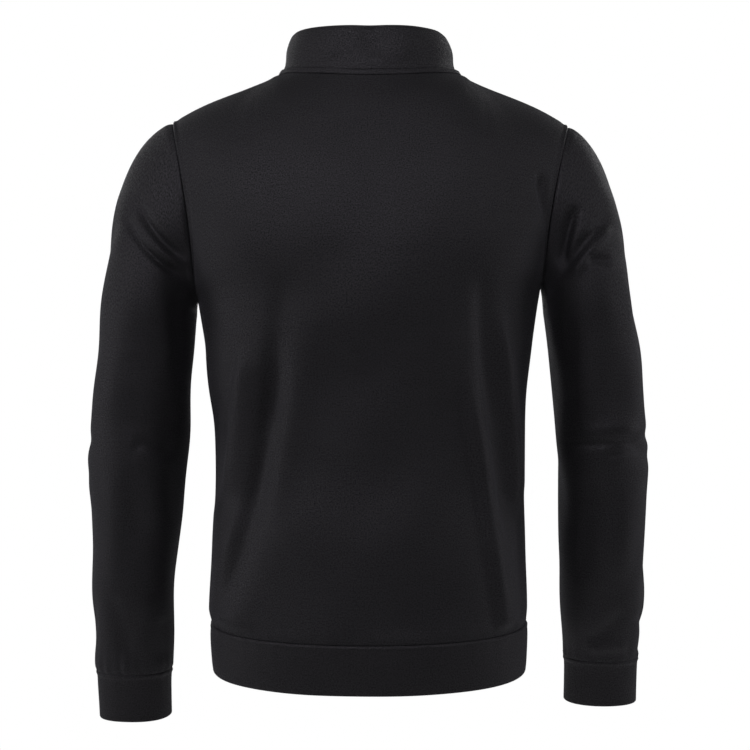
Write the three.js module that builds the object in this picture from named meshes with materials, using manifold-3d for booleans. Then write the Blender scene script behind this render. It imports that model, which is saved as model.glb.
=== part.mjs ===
// Half-zip sweatshirt in its worn, hollow form. Millimetres, +Z up. The wearer faces -Y and the
// wearer's left is +X. The origin is the base of the neck, level with the tops of the shoulder seams.
import * as THREE from 'three';
import { mergeGeometries, mergeVertices } from 'three/addons/utils/BufferGeometryUtils.js';
import Module from 'manifold-3d';

const wasm = await Module();
wasm.setup();

// ---------------------------------------------------------------- cloth and seams
const CLOTH = 2;
const DOUBLED_CLOTH = 3;
const SEAM_GAP = 0.3;

const BACK = 1;
const FRONT = -1;
const LEFT = 1;
const RIGHT = -1;

// ---------------------------------------------------------------- body
// Body sections by height: half-width on each side, reach behind and in front of the side seams.
const BODY = [
  { z: -660, left: 171.0, right: 170.0, back: 113, front: 108 },
  { z: -597, left: 173.5, right: 171.0, back: 116, front: 111 },
  { z: -508, left: 171.5, right: 170.5, back: 112, front: 107 },
  { z: -430, left: 169.5, right: 168.5, back: 105, front: 103 },
  { z: -354, left: 172.5, right: 170.5, back: 107, front: 108 },
  { z: -299, left: 180.0, right: 177.0, back: 113, front: 114 },
  { z: -247, left: 188.6, right: 184.5, back: 118, front: 118 },
  { z: -232, left: 189.5, right: 187.0, back: 119, front: 118 },
  { z: -180, left: 190.0, right: 188.0, back: 119, front: 113 },
  { z: -125, left: 190.0, right: 188.0, back: 111, front: 99 },
  { z: -78, left: 190.0, right: 188.0, back: 97, front: 81 },
  { z: -40, left: 190.0, right: 188.0, back: 82, front: 70 },
  { z: -11, left: 190.0, right: 188.0, back: 67, front: 66 },
];
const FULLNESS = 0.035;
const HEM_SEAM = { middle: -600, side: -594 };
const HEM_EDGE = { middle: -652, side: -647 };
const CHEST_Z = -240;
const SHOULDER_BLADE_TURN = THREE.MathUtils.degToRad(38);

const ARMHOLE = {
  [LEFT]: { shoulderX: 216, shoulderZ: -50.5, underX: 188.6, underZ: -247.5 },
  [RIGHT]: { shoulderX: 217, shoulderZ: -54.5, underX: 187, underZ: -232 },
};
const ARMHOLE_REACH = { [BACK]: 54, [FRONT]: 50 };
const ARMHOLE_HOLLOW = 3.5;

const NECK = { halfWidth: 100, reach: { [BACK]: 67, [FRONT]: 81 }, backZ: -11, frontZ: -78 };
const RIM = {
  halfWidth: { [LEFT]: 82.5, [RIGHT]: 78.5 },
  reach: { [BACK]: 60, [FRONT]: 82 },
  backZ: 42,
  sideZ: 46,
  frontZ: -16,
};
const SHOULDER_RISE = 4.5;
// How a collar leans in from the neck seam to its rim, as shares of its height and of its lean.
const COLLAR_PROFILE = [
  { up: 0, lean: 0 },
  { up: 0.2, lean: 0.34 },
  { up: 0.6, lean: 0.46 },
  { up: 0.9, lean: 0.74 },
  { up: 1, lean: 1 },
];

// ---------------------------------------------------------------- sleeves
// Sleeve rings by height: outer and inner side, middle of the depth, half of the depth.
const SLEEVE = {
  [LEFT]: [
    { z: -266, outer: 295.5, inner: 191.6, y: -4, deep: 66 },
    { z: -300, outer: 299.5, inner: 194.0, y: -5, deep: 65 },
    { z: -354, outer: 304.5, inner: 198.0, y: -8, deep: 62 },
    { z: -410, outer: 308.5, inner: 202.5, y: -10, deep: 58 },
    { z: -464, outer: 308.0, inner: 208.0, y: -13, deep: 55 },
    { z: -520, outer: 307.5, inner: 213.5, y: -17, deep: 51 },
    { z: -590, outer: 308.0, inner: 220.0, y: -22, deep: 46 },
    { z: -655, outer: 306.5, inner: 221.5, y: -27, deep: 39 },
    { z: -708, outer: 302.5, inner: 223.0, y: -30, deep: 35 },
  ],
  [RIGHT]: [
    { z: -266, outer: 290.5, inner: 193.0, y: -4, deep: 66 },
    { z: -300, outer: 296.5, inner: 197.0, y: -6, deep: 65 },
    { z: -354, outer: 302.5, inner: 204.0, y: -9, deep: 62 },
    { z: -410, outer: 306.5, inner: 207.7, y: -14, deep: 58 },
    { z: -464, outer: 306.5, inner: 211.0, y: -21, deep: 55 },
    { z: -520, outer: 307.0, inner: 213.0, y: -30, deep: 51 },
    { z: -590, outer: 308.0, inner: 216.5, y: -45, deep: 46 },
    { z: -648, outer: 307.3, inner: 221.0, y: -60, deep: 39 },
    { z: -701, outer: 306.0, inner: 223.5, y: -69, deep: 35 },
  ],
};
// How far the sleeve cap runs on outward at the armhole and straight down at its first ring.
const CAP_PULL = { [LEFT]: 220, [RIGHT]: 180, flank: 90, under: 14 };
const CAP_DROP = { [LEFT]: 280, [RIGHT]: 300, flank: 120, under: 20 };
const SLEEVE_FULLNESS = 0.02;
// How far a doubled band stands out from the surface that it is sewn to, as shares of its width.
const HEM_PROFILE = [
  { down: 0, out: 0 },
  { down: 0.25, out: 1.2 },
  { down: 0.8, out: 0.8 },
  { down: 1, out: 0 },
];
const CUFF_PROFILE = [
  { down: 0, out: -0.4 },
  { down: 0.12, out: -1.4 },
  { down: 0.6, out: -0.84 },
  { down: 1, out: 0 },
];

// ---------------------------------------------------------------- folds
// Soft ridges (lift above 0) and troughs of the cloth, each along a bowed line from one point to
// another, across the wearer's back or front.
const FOLDS = {
  [BACK]: [
    { x0: 80, z0: -205, x1: 128, z1: -560, bow: 11, width: 15, lift: 5.0 },
    { x0: 101, z0: -228, x1: 116, z1: -415, bow: 2, width: 12, lift: -4.5 },
    { x0: 133, z0: -315, x1: 157, z1: -460, bow: 2, width: 12, lift: 4.0 },
    { x0: 130, z0: -500, x1: 144, z1: -592, bow: 0, width: 21, lift: 4.5 },
    { x0: -97, z0: -335, x1: -139, z1: -590, bow: -8, width: 14, lift: 5.0 },
    { x0: -112, z0: -250, x1: -130, z1: -465, bow: -3, width: 10, lift: -4.0 },
    { x0: -133, z0: -268, x1: -161, z1: -505, bow: -5, width: 10, lift: 4.5 },
    { x0: -104, z0: -170, x1: -116, z1: -240, bow: 0, width: 15, lift: -2.5 },
    { x0: 248, z0: -132, x1: 186, z1: -212, bow: 3, width: 8, lift: -4.5 },
    { x0: 258, z0: -150, x1: 190, z1: -227, bow: 4, width: 8, lift: -4.5 },
    { x0: 250, z0: -150, x1: 214, z1: -200, bow: 2, width: 7, lift: 3.5 },
    { x0: -217, z0: -148, x1: -199, z1: -212, bow: -4, width: 7, lift: -4.5 },
    { x0: -252, z0: -160, x1: -195, z1: -231, bow: -4, width: 8, lift: -4.5 },
    { x0: -224, z0: -201, x1: -250, z1: -209, bow: 0, width: 6, lift: -3.0 },
    { x0: -199, z0: -403, x1: -298, z1: -396, bow: 4, width: 8, lift: -4.5 },
    { x0: -246, z0: -412, x1: -300, z1: -405, bow: 0, width: 7, lift: -3.5 },
    { x0: 205, z0: -413, x1: 240, z1: -400, bow: 2, width: 9, lift: -3.5 },
  ],
  [FRONT]: [
    { x0: 78, z0: -190, x1: 118, z1: -560, bow: 9, width: 16, lift: 4.5 },
    { x0: -74, z0: -215, x1: -122, z1: -575, bow: -10, width: 17, lift: 4.5 },
    { x0: 132, z0: -330, x1: 148, z1: -585, bow: 4, width: 14, lift: 4.0 },
    { x0: -130, z0: -300, x1: -152, z1: -520, bow: -3, width: 12, lift: 4.0 },
    { x0: 106, z0: -250, x1: 124, z1: -430, bow: 2, width: 13, lift: -4.5 },
    { x0: -101, z0: -280, x1: -131, z1: -455, bow: -4, width: 12, lift: -4.0 },
    { x0: 250, z0: -140, x1: 192, z1: -216, bow: 4, width: 9, lift: -4.5 },
    { x0: -250, z0: -145, x1: -192, z1: -219, bow: -4, width: 9, lift: -4.5 },
    { x0: 206, z0: -430, x1: 292, z1: -412, bow: 4, width: 10, lift: -5.0 },
    { x0: 214, z0: -462, x1: 280, z1: -452, bow: 4, width: 9, lift: -4.0 },
    { x0: -206, z0: -425, x1: -294, z1: -405, bow: -4, width: 10, lift: -5.0 },
    { x0: -214, z0: -456, x1: -286, z1: -446, bow: -4, width: 10, lift: -4.5 },
  ],
};
// A fold has its whole lift over the middle of its length and fades away towards both ends.
const FOLD_FADE = 5.2;

// ---------------------------------------------------------------- zip
const SLIT_BOTTOM_ROW = 11;
const SLIT_HALF = 7;
const TAPE_HALF = 12;
const CHAIN_HALF = 2.6;
const TAPE_BEHIND = 0.9;
const TAPE_THICK = 0.7;
const TAPE_SINK = 0.6;
const CORD_HALF = 1.5;
const STOP = { above: 5, long: 5, thick: 1.2, round: 1, outward: 2.4 };
const SLIDER = { long: 12, wide: 9.5, plate: 1.4, round: 2.2, below: 12 };
const POST = { wide: 3, long: 4, up: 3 };
const FLANGE = { wide: 1.2, long: 7, down: 0.5, front: 1.1, back: 0.6 };
const CROWN = { wide: 2.2, window: 6, clear: 3, leg: 1.6, top: 1.3, root: 0.5, slant: 1.4 };
const PULL = { long: 29, wide: 8, thick: 1.6, window: 7.4, round: 3, play: 0.5 };

// ---------------------------------------------------------------- grid sizes
const HALF_COLUMNS = 14;
const NECK_COLUMNS = 7;
const LOWER_ROWS = 12;
const ARMHOLE_STEPS = 12;
const CAP_ROWS = 8;
const SLEEVE_ROWS = 14;
const TAPE_ROWS = 22;
const ZIP_BOTTOM_Z = HEM_SEAM.middle + (CHEST_Z - HEM_SEAM.middle) * SLIT_BOTTOM_ROW / LOWER_ROWS;

// ---------------------------------------------------------------- materials
const cloth = () => new THREE.MeshStandardMaterial({ color: 0x1e1f22, roughness: 0.72, metalness: 0 });
const tapeCloth = () => new THREE.MeshStandardMaterial({ color: 0x17181a, roughness: 0.85, metalness: 0 });
const darkMetal = () => new THREE.MeshStandardMaterial({ color: 0x2b2c2f, roughness: 0.35, metalness: 0.9 });

// ---------------------------------------------------------------- small tools
const vector = (x, y, z) => new THREE.Vector3(x, y, z);
const mix = (a, b, share) => a + (b - a) * share;
const smooth = (share) => share * share * (3 - 2 * share);
const limit = (value) => Math.min(1, Math.max(0, value));
const along = (point, direction, distance) => point.clone().addScaledVector(direction, distance);

// A column of a table, read at any height by a smooth curve through its rows.
function readTable(table, column, z) {
  const rising = table[table.length - 1].z > table[0].z;
  const rows = rising ? table : [...table].reverse();
  let i = rows.findIndex((row) => row.z > z) - 1;
  if (i === -2) i = rows.length - 2;
  i = Math.min(Math.max(i, 0), rows.length - 2);
  const slope = (k) => {
    const low = rows[Math.max(k - 1, 0)];
    const high = rows[Math.min(k + 1, rows.length - 1)];
    return (high[column] - low[column]) / (high.z - low.z);
  };
  const span = rows[i + 1].z - rows[i].z;
  const t = limit((z - rows[i].z) / span);
  const t2 = t * t;
  const t3 = t2 * t;
  return (2 * t3 - 3 * t2 + 1) * rows[i][column] + (t3 - 2 * t2 + t) * span * slope(i)
    + (3 * t2 - 2 * t3) * rows[i + 1][column] + (t3 - t2) * span * slope(i + 1);
}

// How far the folds lift the cloth at a place on the wearer's back or front.
function foldLift(face, x, z) {
  let lift = 0;
  for (const fold of FOLDS[face]) {
    const dx = fold.x1 - fold.x0;
    const dz = fold.z1 - fold.z0;
    const length = Math.hypot(dx, dz);
    const share = ((x - fold.x0) * dx + (z - fold.z0) * dz) / length ** 2;
    if (share > 0 && share < 1) {
      const off = ((x - fold.x0) * dz - (z - fold.z0) * dx) / length;
      const bowed = off - fold.bow * 4 * share * (1 - share);
      const fade = Math.min(1, FOLD_FADE * share * (1 - share));
      lift += fold.lift * fade * Math.exp(-((bowed / fold.width) ** 2));
    }
  }
  return lift;
}

// ---------------------------------------------------------------- seam lines
// Each seam gives its place, the way through the cloth to the inside, and the way across the seam.
function armhole(side, degrees) {
  const { shoulderX, shoulderZ, underX, underZ } = ARMHOLE[side];
  const turn = THREE.MathUtils.degToRad(degrees);
  const high = (1 + Math.cos(turn)) / 2;
  const face = Math.sin(turn) >= 0 ? BACK : FRONT;
  const hollow = ARMHOLE_HOLLOW * Math.sin(turn) ** 2;
  const x = underX + (shoulderX - underX) * high ** 1.5 - hollow;
  const y = ARMHOLE_REACH[face] * Math.sin(turn);
  const place = vector(side * x, y, mix(underZ, shoulderZ, high));
  const inward = vector(-0.45 * side * (1 - (1 - high) ** 2), -Math.sin(turn), -Math.cos(turn)).normalize();
  const tangent = vector(0, Math.cos(turn), -Math.sin(turn));
  const across = inward.clone().cross(tangent).normalize();
  if (across.x * side < 0) across.negate();
  return { place, inward, across };
}

function neck(side, face, degrees) {
  const turn = THREE.MathUtils.degToRad(degrees);
  const drop = face === BACK ? NECK.backZ * Math.cos(turn) ** 2 : NECK.frontZ * Math.cos(turn) ** 1.7;
  const place = vector(side * NECK.halfWidth * Math.sin(turn), face * NECK.reach[face] * Math.cos(turn), drop);
  const radial = vector(side * Math.sin(turn), face * Math.cos(turn), 0);
  const inward = radial.clone().multiplyScalar(-0.8).add(vector(0, 0, -0.6));
  const across = radial.clone().multiplyScalar(-0.6).add(vector(0, 0, 0.8));
  return { place, inward, across };
}

function shoulder(side, share) {
  const start = vector(side * NECK.halfWidth, 0, 0);
  const end = armhole(side, 0).place;
  const place = start.lerp(end, share);
  place.z += SHOULDER_RISE * Math.sin(Math.PI * share ** 1.6);
  const inward = armhole(side, 0).inward;
  return { place, inward };
}

// ---------------------------------------------------------------- body surface
const halfWidth = (side, z) => readTable(BODY, side === LEFT ? 'left' : 'right', z);
const reach = (face, z) => readTable(BODY, face === BACK ? 'back' : 'front', z);
const levelAt = (line, u) => mix(line.middle, line.side, u * u);
const fullness = (u) => 1 + FULLNESS * Math.sin(Math.PI * u) ** 2;

// Below the armholes: u runs from the middle to the side seam.
function lowerBody(side, face, u, z) {
  const turn = u * Math.PI / 2;
  const x = side * halfWidth(side, z) * Math.sin(turn) * fullness(u);
  const y = face * reach(face, z) * Math.cos(turn) * fullness(u);
  return vector(x, y, z);
}

// The top edge of a panel: the neckline, then the shoulder seam.
function topEdge(side, face, u) {
  const neckShare = NECK_COLUMNS / HALF_COLUMNS;
  if (u <= neckShare) return neck(side, face, 90 * u / neckShare).place;
  return shoulder(side, (u - neckShare) / (1 - neckShare)).place;
}

// Beside the armhole: rise is 0 at the underarm and 1 at the neckline and shoulder seam.
function upperBody(side, face, u, rise) {
  const edge = armhole(side, face * 180 * (1 - rise)).place;
  const neckZ = face === BACK ? NECK.backZ : NECK.frontZ;
  const middleZ = mix(CHEST_Z, neckZ, rise);
  const middle = vector(0, face * reach(face, middleZ), middleZ);
  const most = Math.PI / 2 - SHOULDER_BLADE_TURN * smooth(rise);
  const turn = u * most;
  const round = (Math.cos(turn) - Math.cos(most)) / (1 - Math.cos(most));
  const section = vector(
    edge.x * Math.sin(turn) / Math.sin(most) * fullness(u),
    mix(edge.y, middle.y, round) * fullness(u),
    mix(middle.z, edge.z, u * u),
  );
  const share = Math.sin(Math.PI / 2 * u) ** 2;
  const top = topEdge(side, face, u);
  top.addScaledVector(middle.sub(topEdge(side, face, 0)), 1 - share);
  top.addScaledVector(edge.sub(topEdge(side, face, 1)), share);
  return section.lerp(top, rise ** 4);
}

function bodyPoint(side, face, u, row) {
  if (row > LOWER_ROWS) return upperBody(side, face, u, (row - LOWER_ROWS) / ARMHOLE_STEPS);
  const underarm = { middle: CHEST_Z, side: ARMHOLE[side].underZ };
  const z = mix(levelAt(HEM_SEAM, u), levelAt(underarm, u), row / LOWER_ROWS);
  return lowerBody(side, face, u, z);
}

// ---------------------------------------------------------------- walls from grids of points
// The way out of the cloth at each point of a grid, from the points beside it.
function gridNormals(grid, closed, outside) {
  const rows = grid.length;
  const columns = grid[0].length;
  return grid.map((line, r) => line.map((point, c) => {
    const below = grid[Math.max(r - 1, 0)][c];
    const above = grid[Math.min(r + 1, rows - 1)][c];
    const before = closed ? line[(c + columns - 1) % columns] : line[Math.max(c - 1, 0)];
    const after = closed ? line[(c + 1) % columns] : line[Math.min(c + 1, columns - 1)];
    const normal = after.clone().sub(before).cross(above.clone().sub(below)).normalize();
    return normal.dot(outside(r, c)) < 0 ? normal.negate() : normal;
  }));
}

// A closed wall between an outer and an inner grid, with rims along every open edge.
function wall(outer, inner, closed, keep = () => true) {
  const rows = outer.length;
  const columns = outer[0].length;
  const cells = closed ? columns : columns - 1;
  const positions = [...outer.flat(), ...inner.flat()].flatMap((p) => [p.x, p.y, p.z]);
  const out = (r, c) => r * columns + (c % columns);
  const inn = (r, c) => rows * columns + out(r, c);
  const kept = (r, c) => {
    if (r < 0 || r >= rows - 1) return false;
    if (!closed && (c < 0 || c >= cells)) return false;
    return keep(r, (c + cells) % cells);
  };
  const index = [];
  const quad = (a, b, c, d) => index.push(a, b, c, a, c, d);
  for (let r = 0; r < rows - 1; r += 1) {
    for (let c = 0; c < cells; c += 1) {
      if (kept(r, c)) {
        quad(out(r, c), out(r, c + 1), out(r + 1, c + 1), out(r + 1, c));
        quad(inn(r, c), inn(r + 1, c), inn(r + 1, c + 1), inn(r, c + 1));
        if (!kept(r - 1, c)) quad(out(r, c), inn(r, c), inn(r, c + 1), out(r, c + 1));
        if (!kept(r + 1, c)) quad(out(r + 1, c), out(r + 1, c + 1), inn(r + 1, c + 1), inn(r + 1, c));
        if (!kept(r, c - 1)) quad(out(r, c), out(r + 1, c), inn(r + 1, c), inn(r, c));
        if (!kept(r, c + 1)) quad(out(r, c + 1), inn(r, c + 1), inn(r + 1, c + 1), out(r + 1, c + 1));
      }
    }
  }
  return facingOut(positions, index);
}

// A geometry whose faces point out of the solid that they enclose.
function facingOut(positions, index) {
  const corner = (i) => vector(...positions.slice(3 * index[i], 3 * index[i] + 3));
  let volume = 0;
  for (let i = 0; i < index.length; i += 3) {
    volume += corner(i).dot(corner(i + 1).cross(corner(i + 2)));
  }
  if (volume < 0) index.reverse();
  const raw = new THREE.BufferGeometry();
  raw.setAttribute('position', new THREE.Float32BufferAttribute(positions, 3));
  raw.setIndex(index);
  const used = raw.toNonIndexed();
  const geometry = mergeVertices(used, 1e-4);
  geometry.computeVertexNormals();
  return geometry;
}

// The inner edge of a rim at the height of its outer edge.
function levelRim(outerLine, innerLine) {
  innerLine.forEach((point, c) => { point.z = outerLine[c].z; });
}

function mesh(name, geometry, material) {
  const piece = new THREE.Mesh(geometry, material);
  piece.name = name;
  return piece;
}

// ---------------------------------------------------------------- front and back panels
// Columns run from the wearer's left side seam to the right one. On the front, the two columns
// beside the middle run down the edges of the zip's slit.
function panelColumns(face) {
  const columns = [];
  for (let i = HALF_COLUMNS; i > 0; i -= 1) columns.push({ side: LEFT, u: i / HALF_COLUMNS });
  if (face === FRONT) columns.push({ side: LEFT, u: 0, slit: true });
  else columns.push({ side: LEFT, u: 0 });
  if (face === FRONT) columns.push({ side: RIGHT, u: 0, slit: true });
  for (let i = 1; i <= HALF_COLUMNS; i += 1) columns.push({ side: RIGHT, u: i / HALF_COLUMNS });
  return columns;
}

function slitPoint(point, side) {
  return vector(side * SLIT_HALF, point.y, point.z);
}

function panel(name, face) {
  const columns = panelColumns(face);
  const lastRow = LOWER_ROWS + ARMHOLE_STEPS;
  const lastColumn = columns.length - 1;
  const smoothGrid = [];
  for (let row = 0; row <= lastRow; row += 1) {
    smoothGrid.push(columns.map(({ side, u, slit }) => {
      const point = bodyPoint(side, face, u, row);
      return slit ? slitPoint(point, side) : point;
    }));
  }
  const outside = (r, c) => vector(smoothGrid[r][c].x, smoothGrid[r][c].y, r > LOWER_ROWS ? 60 : 0);
  const smoothNormals = gridNormals(smoothGrid, false, outside);
  const outer = smoothGrid.map((line, r) => line.map((point, c) => {
    const { u } = columns[c];
    const hemShare = limit(r / 2);
    const topShare = limit((lastRow - r) / 4);
    const sideShare = limit((1 - u) * 5);
    const middleShare = face === FRONT ? limit(u * 5) : 1;
    const lift = foldLift(face, point.x, point.z) * hemShare * topShare * sideShare * middleShare;
    return along(point, smoothNormals[r][c], lift);
  }));
  const normals = gridNormals(outer, false, outside);
  const inner = outer.map((line, r) => line.map((point, c) => along(point, normals[r][c], -CLOTH)));

  const half = SEAM_GAP / 2;
  const place = (r, c, seam, aside) => {
    outer[r][c] = seam.place.clone().add(aside);
    inner[r][c] = along(outer[r][c], seam.inward, CLOTH);
  };
  for (const c of [0, lastColumn]) {
    const side = c === 0 ? LEFT : RIGHT;
    for (let r = 0; r <= lastRow; r += 1) {
      const fromSide = vector(0, face * half, 0);
      if (r < LOWER_ROWS) {
        const seam = { place: outer[r][c], inward: vector(-side, 0, 0) };
        place(r, c, seam, fromSide);
      } else {
        const degrees = face * 180 * (lastRow - r) / ARMHOLE_STEPS;
        const seam = armhole(side, degrees);
        const aside = seam.across.clone().multiplyScalar(-half);
        if (r === LOWER_ROWS || r === lastRow) aside.add(fromSide);
        place(r, c, seam, aside);
      }
    }
  }
  for (let c = 1; c < lastColumn; c += 1) {
    const { side, u, slit } = columns[c];
    const neckShare = NECK_COLUMNS / HALF_COLUMNS;
    if (u <= neckShare) {
      const seam = neck(side, face, 90 * u / neckShare);
      if (slit) seam.place = slitPoint(seam.place, side);
      const aside = seam.across.clone().multiplyScalar(-half);
      if (u === neckShare) aside.y += face * half;
      place(lastRow, c, seam, aside);
    } else {
      const seam = shoulder(side, (u - neckShare) / (1 - neckShare));
      place(lastRow, c, seam, vector(0, face * half, 0));
    }
    inner[0][c].z = outer[0][c].z;
  }

  const slitCell = HALF_COLUMNS;
  if (face === FRONT) {
    for (const c of [HALF_COLUMNS, HALF_COLUMNS + 1]) {
      for (let r = SLIT_BOTTOM_ROW; r <= lastRow; r += 1) inner[r][c].x = outer[r][c].x;
    }
  }
  const keep = (r, c) => face === BACK || c !== slitCell || r < SLIT_BOTTOM_ROW;
  return mesh(name, wall(outer, inner, false, keep), cloth());
}

// ---------------------------------------------------------------- collar
function collarPoint(side, face, degrees, height) {
  const base = neck(side, face, degrees);
  const turn = THREE.MathUtils.degToRad(degrees);
  const drop = face === BACK ? RIM.backZ - RIM.sideZ : RIM.frontZ - RIM.sideZ;
  const rim = vector(
    side * RIM.halfWidth[side] * Math.sin(turn),
    face * RIM.reach[face] * Math.cos(turn),
    RIM.sideZ + drop * Math.cos(turn) ** (face === BACK ? 2 : 1.7),
  );
  return vector(
    mix(base.place.x, rim.x, height.lean),
    mix(base.place.y, rim.y, height.lean),
    mix(base.place.z, rim.z, height.up),
  );
}

function collar() {
  const around = (side) => {
    const half = [];
    for (let i = 0; i < NECK_COLUMNS; i += 1) {
      half.push({ side, face: FRONT, degrees: 90 * i / NECK_COLUMNS, slit: i === 0 });
    }
    for (let i = NECK_COLUMNS; i >= 0; i -= 1) half.push({ side, face: BACK, degrees: 90 * i / NECK_COLUMNS });
    return half;
  };
  const stops = [...around(LEFT), ...around(RIGHT).reverse().slice(1)];
  const outer = COLLAR_PROFILE.map((height) => stops.map(({ side, face, degrees, slit }) => {
    const point = collarPoint(side, face, degrees, height);
    return slit ? slitPoint(point, side) : point;
  }));
  const normals = gridNormals(outer, false, (r, c) => vector(outer[r][c].x, outer[r][c].y, 0));
  const inner = outer.map((line, r) => line.map((point, c) => along(point, normals[r][c], -DOUBLED_CLOTH)));
  stops.forEach(({ side, face, degrees, slit }, c) => {
    const seam = neck(side, face, degrees);
    if (slit) seam.place = slitPoint(seam.place, side);
    outer[0][c] = along(seam.place, seam.across, SEAM_GAP / 2);
    inner[0][c] = along(outer[0][c], seam.inward, DOUBLED_CLOTH);
    const top = COLLAR_PROFILE.length - 1;
    inner[top][c].z = outer[top][c].z;
    if (slit) inner.forEach((line, r) => { line[c].x = outer[r][c].x; });
  });
  return mesh('collar', wall(outer, inner, false), cloth());
}

// ---------------------------------------------------------------- hem band
function hemBand() {
  const stops = [];
  for (const [side, face] of [[LEFT, BACK], [RIGHT, BACK], [RIGHT, FRONT], [LEFT, FRONT]]) {
    const outward = side * face < 0;
    for (let i = 0; i < HALF_COLUMNS; i += 1) {
      const step = outward ? i : HALF_COLUMNS - i;
      stops.push({ side, face, u: step / HALF_COLUMNS });
    }
  }
  const outer = HEM_PROFILE.map(({ down, out }) => stops.map(({ side, face, u }) => {
    const z = mix(levelAt(HEM_SEAM, u) - SEAM_GAP, levelAt(HEM_EDGE, u), down);
    const point = lowerBody(side, face, u, z);
    const radial = vector(point.x / halfWidth(side, z), point.y / reach(face, z), 0).normalize();
    return along(point, radial, out);
  }));
  const normals = gridNormals(outer, true, (r, c) => vector(outer[r][c].x, outer[r][c].y, 0));
  const inner = outer.map((line, r) => line.map((point, c) => along(point, normals[r][c], -DOUBLED_CLOTH)));
  for (const r of [0, HEM_PROFILE.length - 1]) levelRim(outer[r], inner[r]);
  return mesh('hem_band', wall(outer, inner, true), cloth());
}

// ---------------------------------------------------------------- sleeves and cuffs
function sleeveRing(side, z, degrees) {
  const table = SLEEVE[side];
  const turn = THREE.MathUtils.degToRad(degrees);
  const outer = readTable(table, 'outer', z);
  const inner = readTable(table, 'inner', z);
  const deep = readTable(table, 'deep', z);
  const full = 1 + SLEEVE_FULLNESS * Math.sin(2 * turn) ** 2;
  const x = (outer + inner) / 2 + (outer - inner) / 2 * Math.cos(turn) * full;
  return vector(side * x, readTable(table, 'y', z) + deep * Math.sin(turn) * full, z);
}

// The cap, from the armhole seam to the first level ring.
function capPoint(side, degrees, share) {
  const turn = THREE.MathUtils.degToRad(degrees);
  const seam = armhole(side, degrees);
  const start = along(seam.place, seam.across, SEAM_GAP / 2);
  const end = sleeveRing(side, SLEEVE[side][0].z, degrees);
  const upper = Math.cos(turn) > 0;
  const weight = Math.abs(Math.cos(turn));
  const pull = mix(CAP_PULL.flank, upper ? CAP_PULL[side] : CAP_PULL.under, weight);
  const drop = mix(CAP_DROP.flank, upper ? CAP_DROP[side] : CAP_DROP.under, weight);
  const flank = Math.sin(turn) ** 2;
  const away = seam.across.clone();
  away.y *= 1 - flank;
  away.z -= 1.1 * flank;
  away.normalize();
  const below = sleeveRing(side, SLEEVE[side][0].z - 20, degrees);
  const down = below.sub(end).normalize();
  const t2 = share * share;
  const t3 = t2 * share;
  const point = start.multiplyScalar(2 * t3 - 3 * t2 + 1);
  point.addScaledVector(away, (t3 - 2 * t2 + share) * pull);
  point.addScaledVector(end, 3 * t2 - 2 * t3);
  return point.addScaledVector(down, (t3 - t2) * drop);
}

function sleeveColumns() {
  const around = 2 * ARMHOLE_STEPS;
  return Array.from({ length: around }, (_, i) => 360 * i / around);
}

function sleeve(name, side) {
  const table = SLEEVE[side];
  const top = table[0].z;
  const cuffSeam = table[table.length - 2].z;
  const smoothGrid = [];
  for (let i = 0; i <= CAP_ROWS; i += 1) {
    smoothGrid.push(sleeveColumns().map((degrees) => capPoint(side, degrees, i / CAP_ROWS)));
  }
  for (let i = 1; i <= SLEEVE_ROWS; i += 1) {
    const z = mix(top, cuffSeam + SEAM_GAP, i / SLEEVE_ROWS);
    smoothGrid.push(sleeveColumns().map((degrees) => sleeveRing(side, z, degrees)));
  }
  const outside = (r, c) => {
    const turn = THREE.MathUtils.degToRad(sleeveColumns()[c]);
    const lift = r < CAP_ROWS ? 1 - r / CAP_ROWS : 0;
    const up = Math.cos(turn) > 0 ? lift : -lift;
    return vector(side * Math.cos(turn) * (1 - Math.abs(up) * 0.9), Math.sin(turn), up * 0.8);
  };
  const smoothNormals = gridNormals(smoothGrid, true, outside);
  const lastRow = smoothGrid.length - 1;
  const outer = smoothGrid.map((line, r) => line.map((point, c) => {
    const sine = Math.sin(THREE.MathUtils.degToRad(sleeveColumns()[c]));
    const face = sine >= 0 ? BACK : FRONT;
    const ends = limit(r / 2) * limit((lastRow - r) / 2);
    return along(point, smoothNormals[r][c], foldLift(face, point.x, point.z) * ends * Math.abs(sine));
  }));
  const normals = gridNormals(outer, true, outside);
  const inner = outer.map((line, r) => line.map((point, c) => along(point, normals[r][c], -CLOTH)));
  sleeveColumns().forEach((degrees, c) => {
    const seam = armhole(side, degrees);
    inner[0][c] = along(outer[0][c], seam.inward, CLOTH);
    inner[lastRow][c].z = outer[lastRow][c].z;
  });
  return mesh(name, wall(outer, inner, true), cloth());
}

function cuff(name, side) {
  const table = SLEEVE[side];
  const start = table[table.length - 2].z;
  const end = table[table.length - 1].z;
  const radial = (degrees) => {
    const turn = THREE.MathUtils.degToRad(degrees);
    return vector(side * Math.cos(turn), Math.sin(turn), 0);
  };
  const outer = CUFF_PROFILE.map(({ down, out }) => sleeveColumns().map((degrees) => {
    const point = sleeveRing(side, mix(start, end, down), degrees);
    return along(point, radial(degrees), out);
  }));
  const normals = gridNormals(outer, true, (r, c) => radial(sleeveColumns()[c]));
  const inner = outer.map((line, r) => line.map((point, c) => along(point, normals[r][c], -DOUBLED_CLOTH)));
  for (const r of [0, CUFF_PROFILE.length - 1]) levelRim(outer[r], inner[r]);
  return mesh(name, wall(outer, inner, true), cloth());
}

// ---------------------------------------------------------------- zip
// The line down the middle of the front, over the chest and up the collar.
function zipLine(z) {
  if (z <= NECK.frontZ) return vector(0, -reach(FRONT, z), z);
  const share = (z - NECK.frontZ) / (RIM.frontZ - NECK.frontZ);
  const heights = COLLAR_PROFILE.map((row) => ({ z: row.up, lean: row.lean }));
  const lean = readTable(heights, 'lean', share);
  return vector(0, -mix(NECK.reach[FRONT], RIM.reach[FRONT], lean), z);
}

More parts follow.
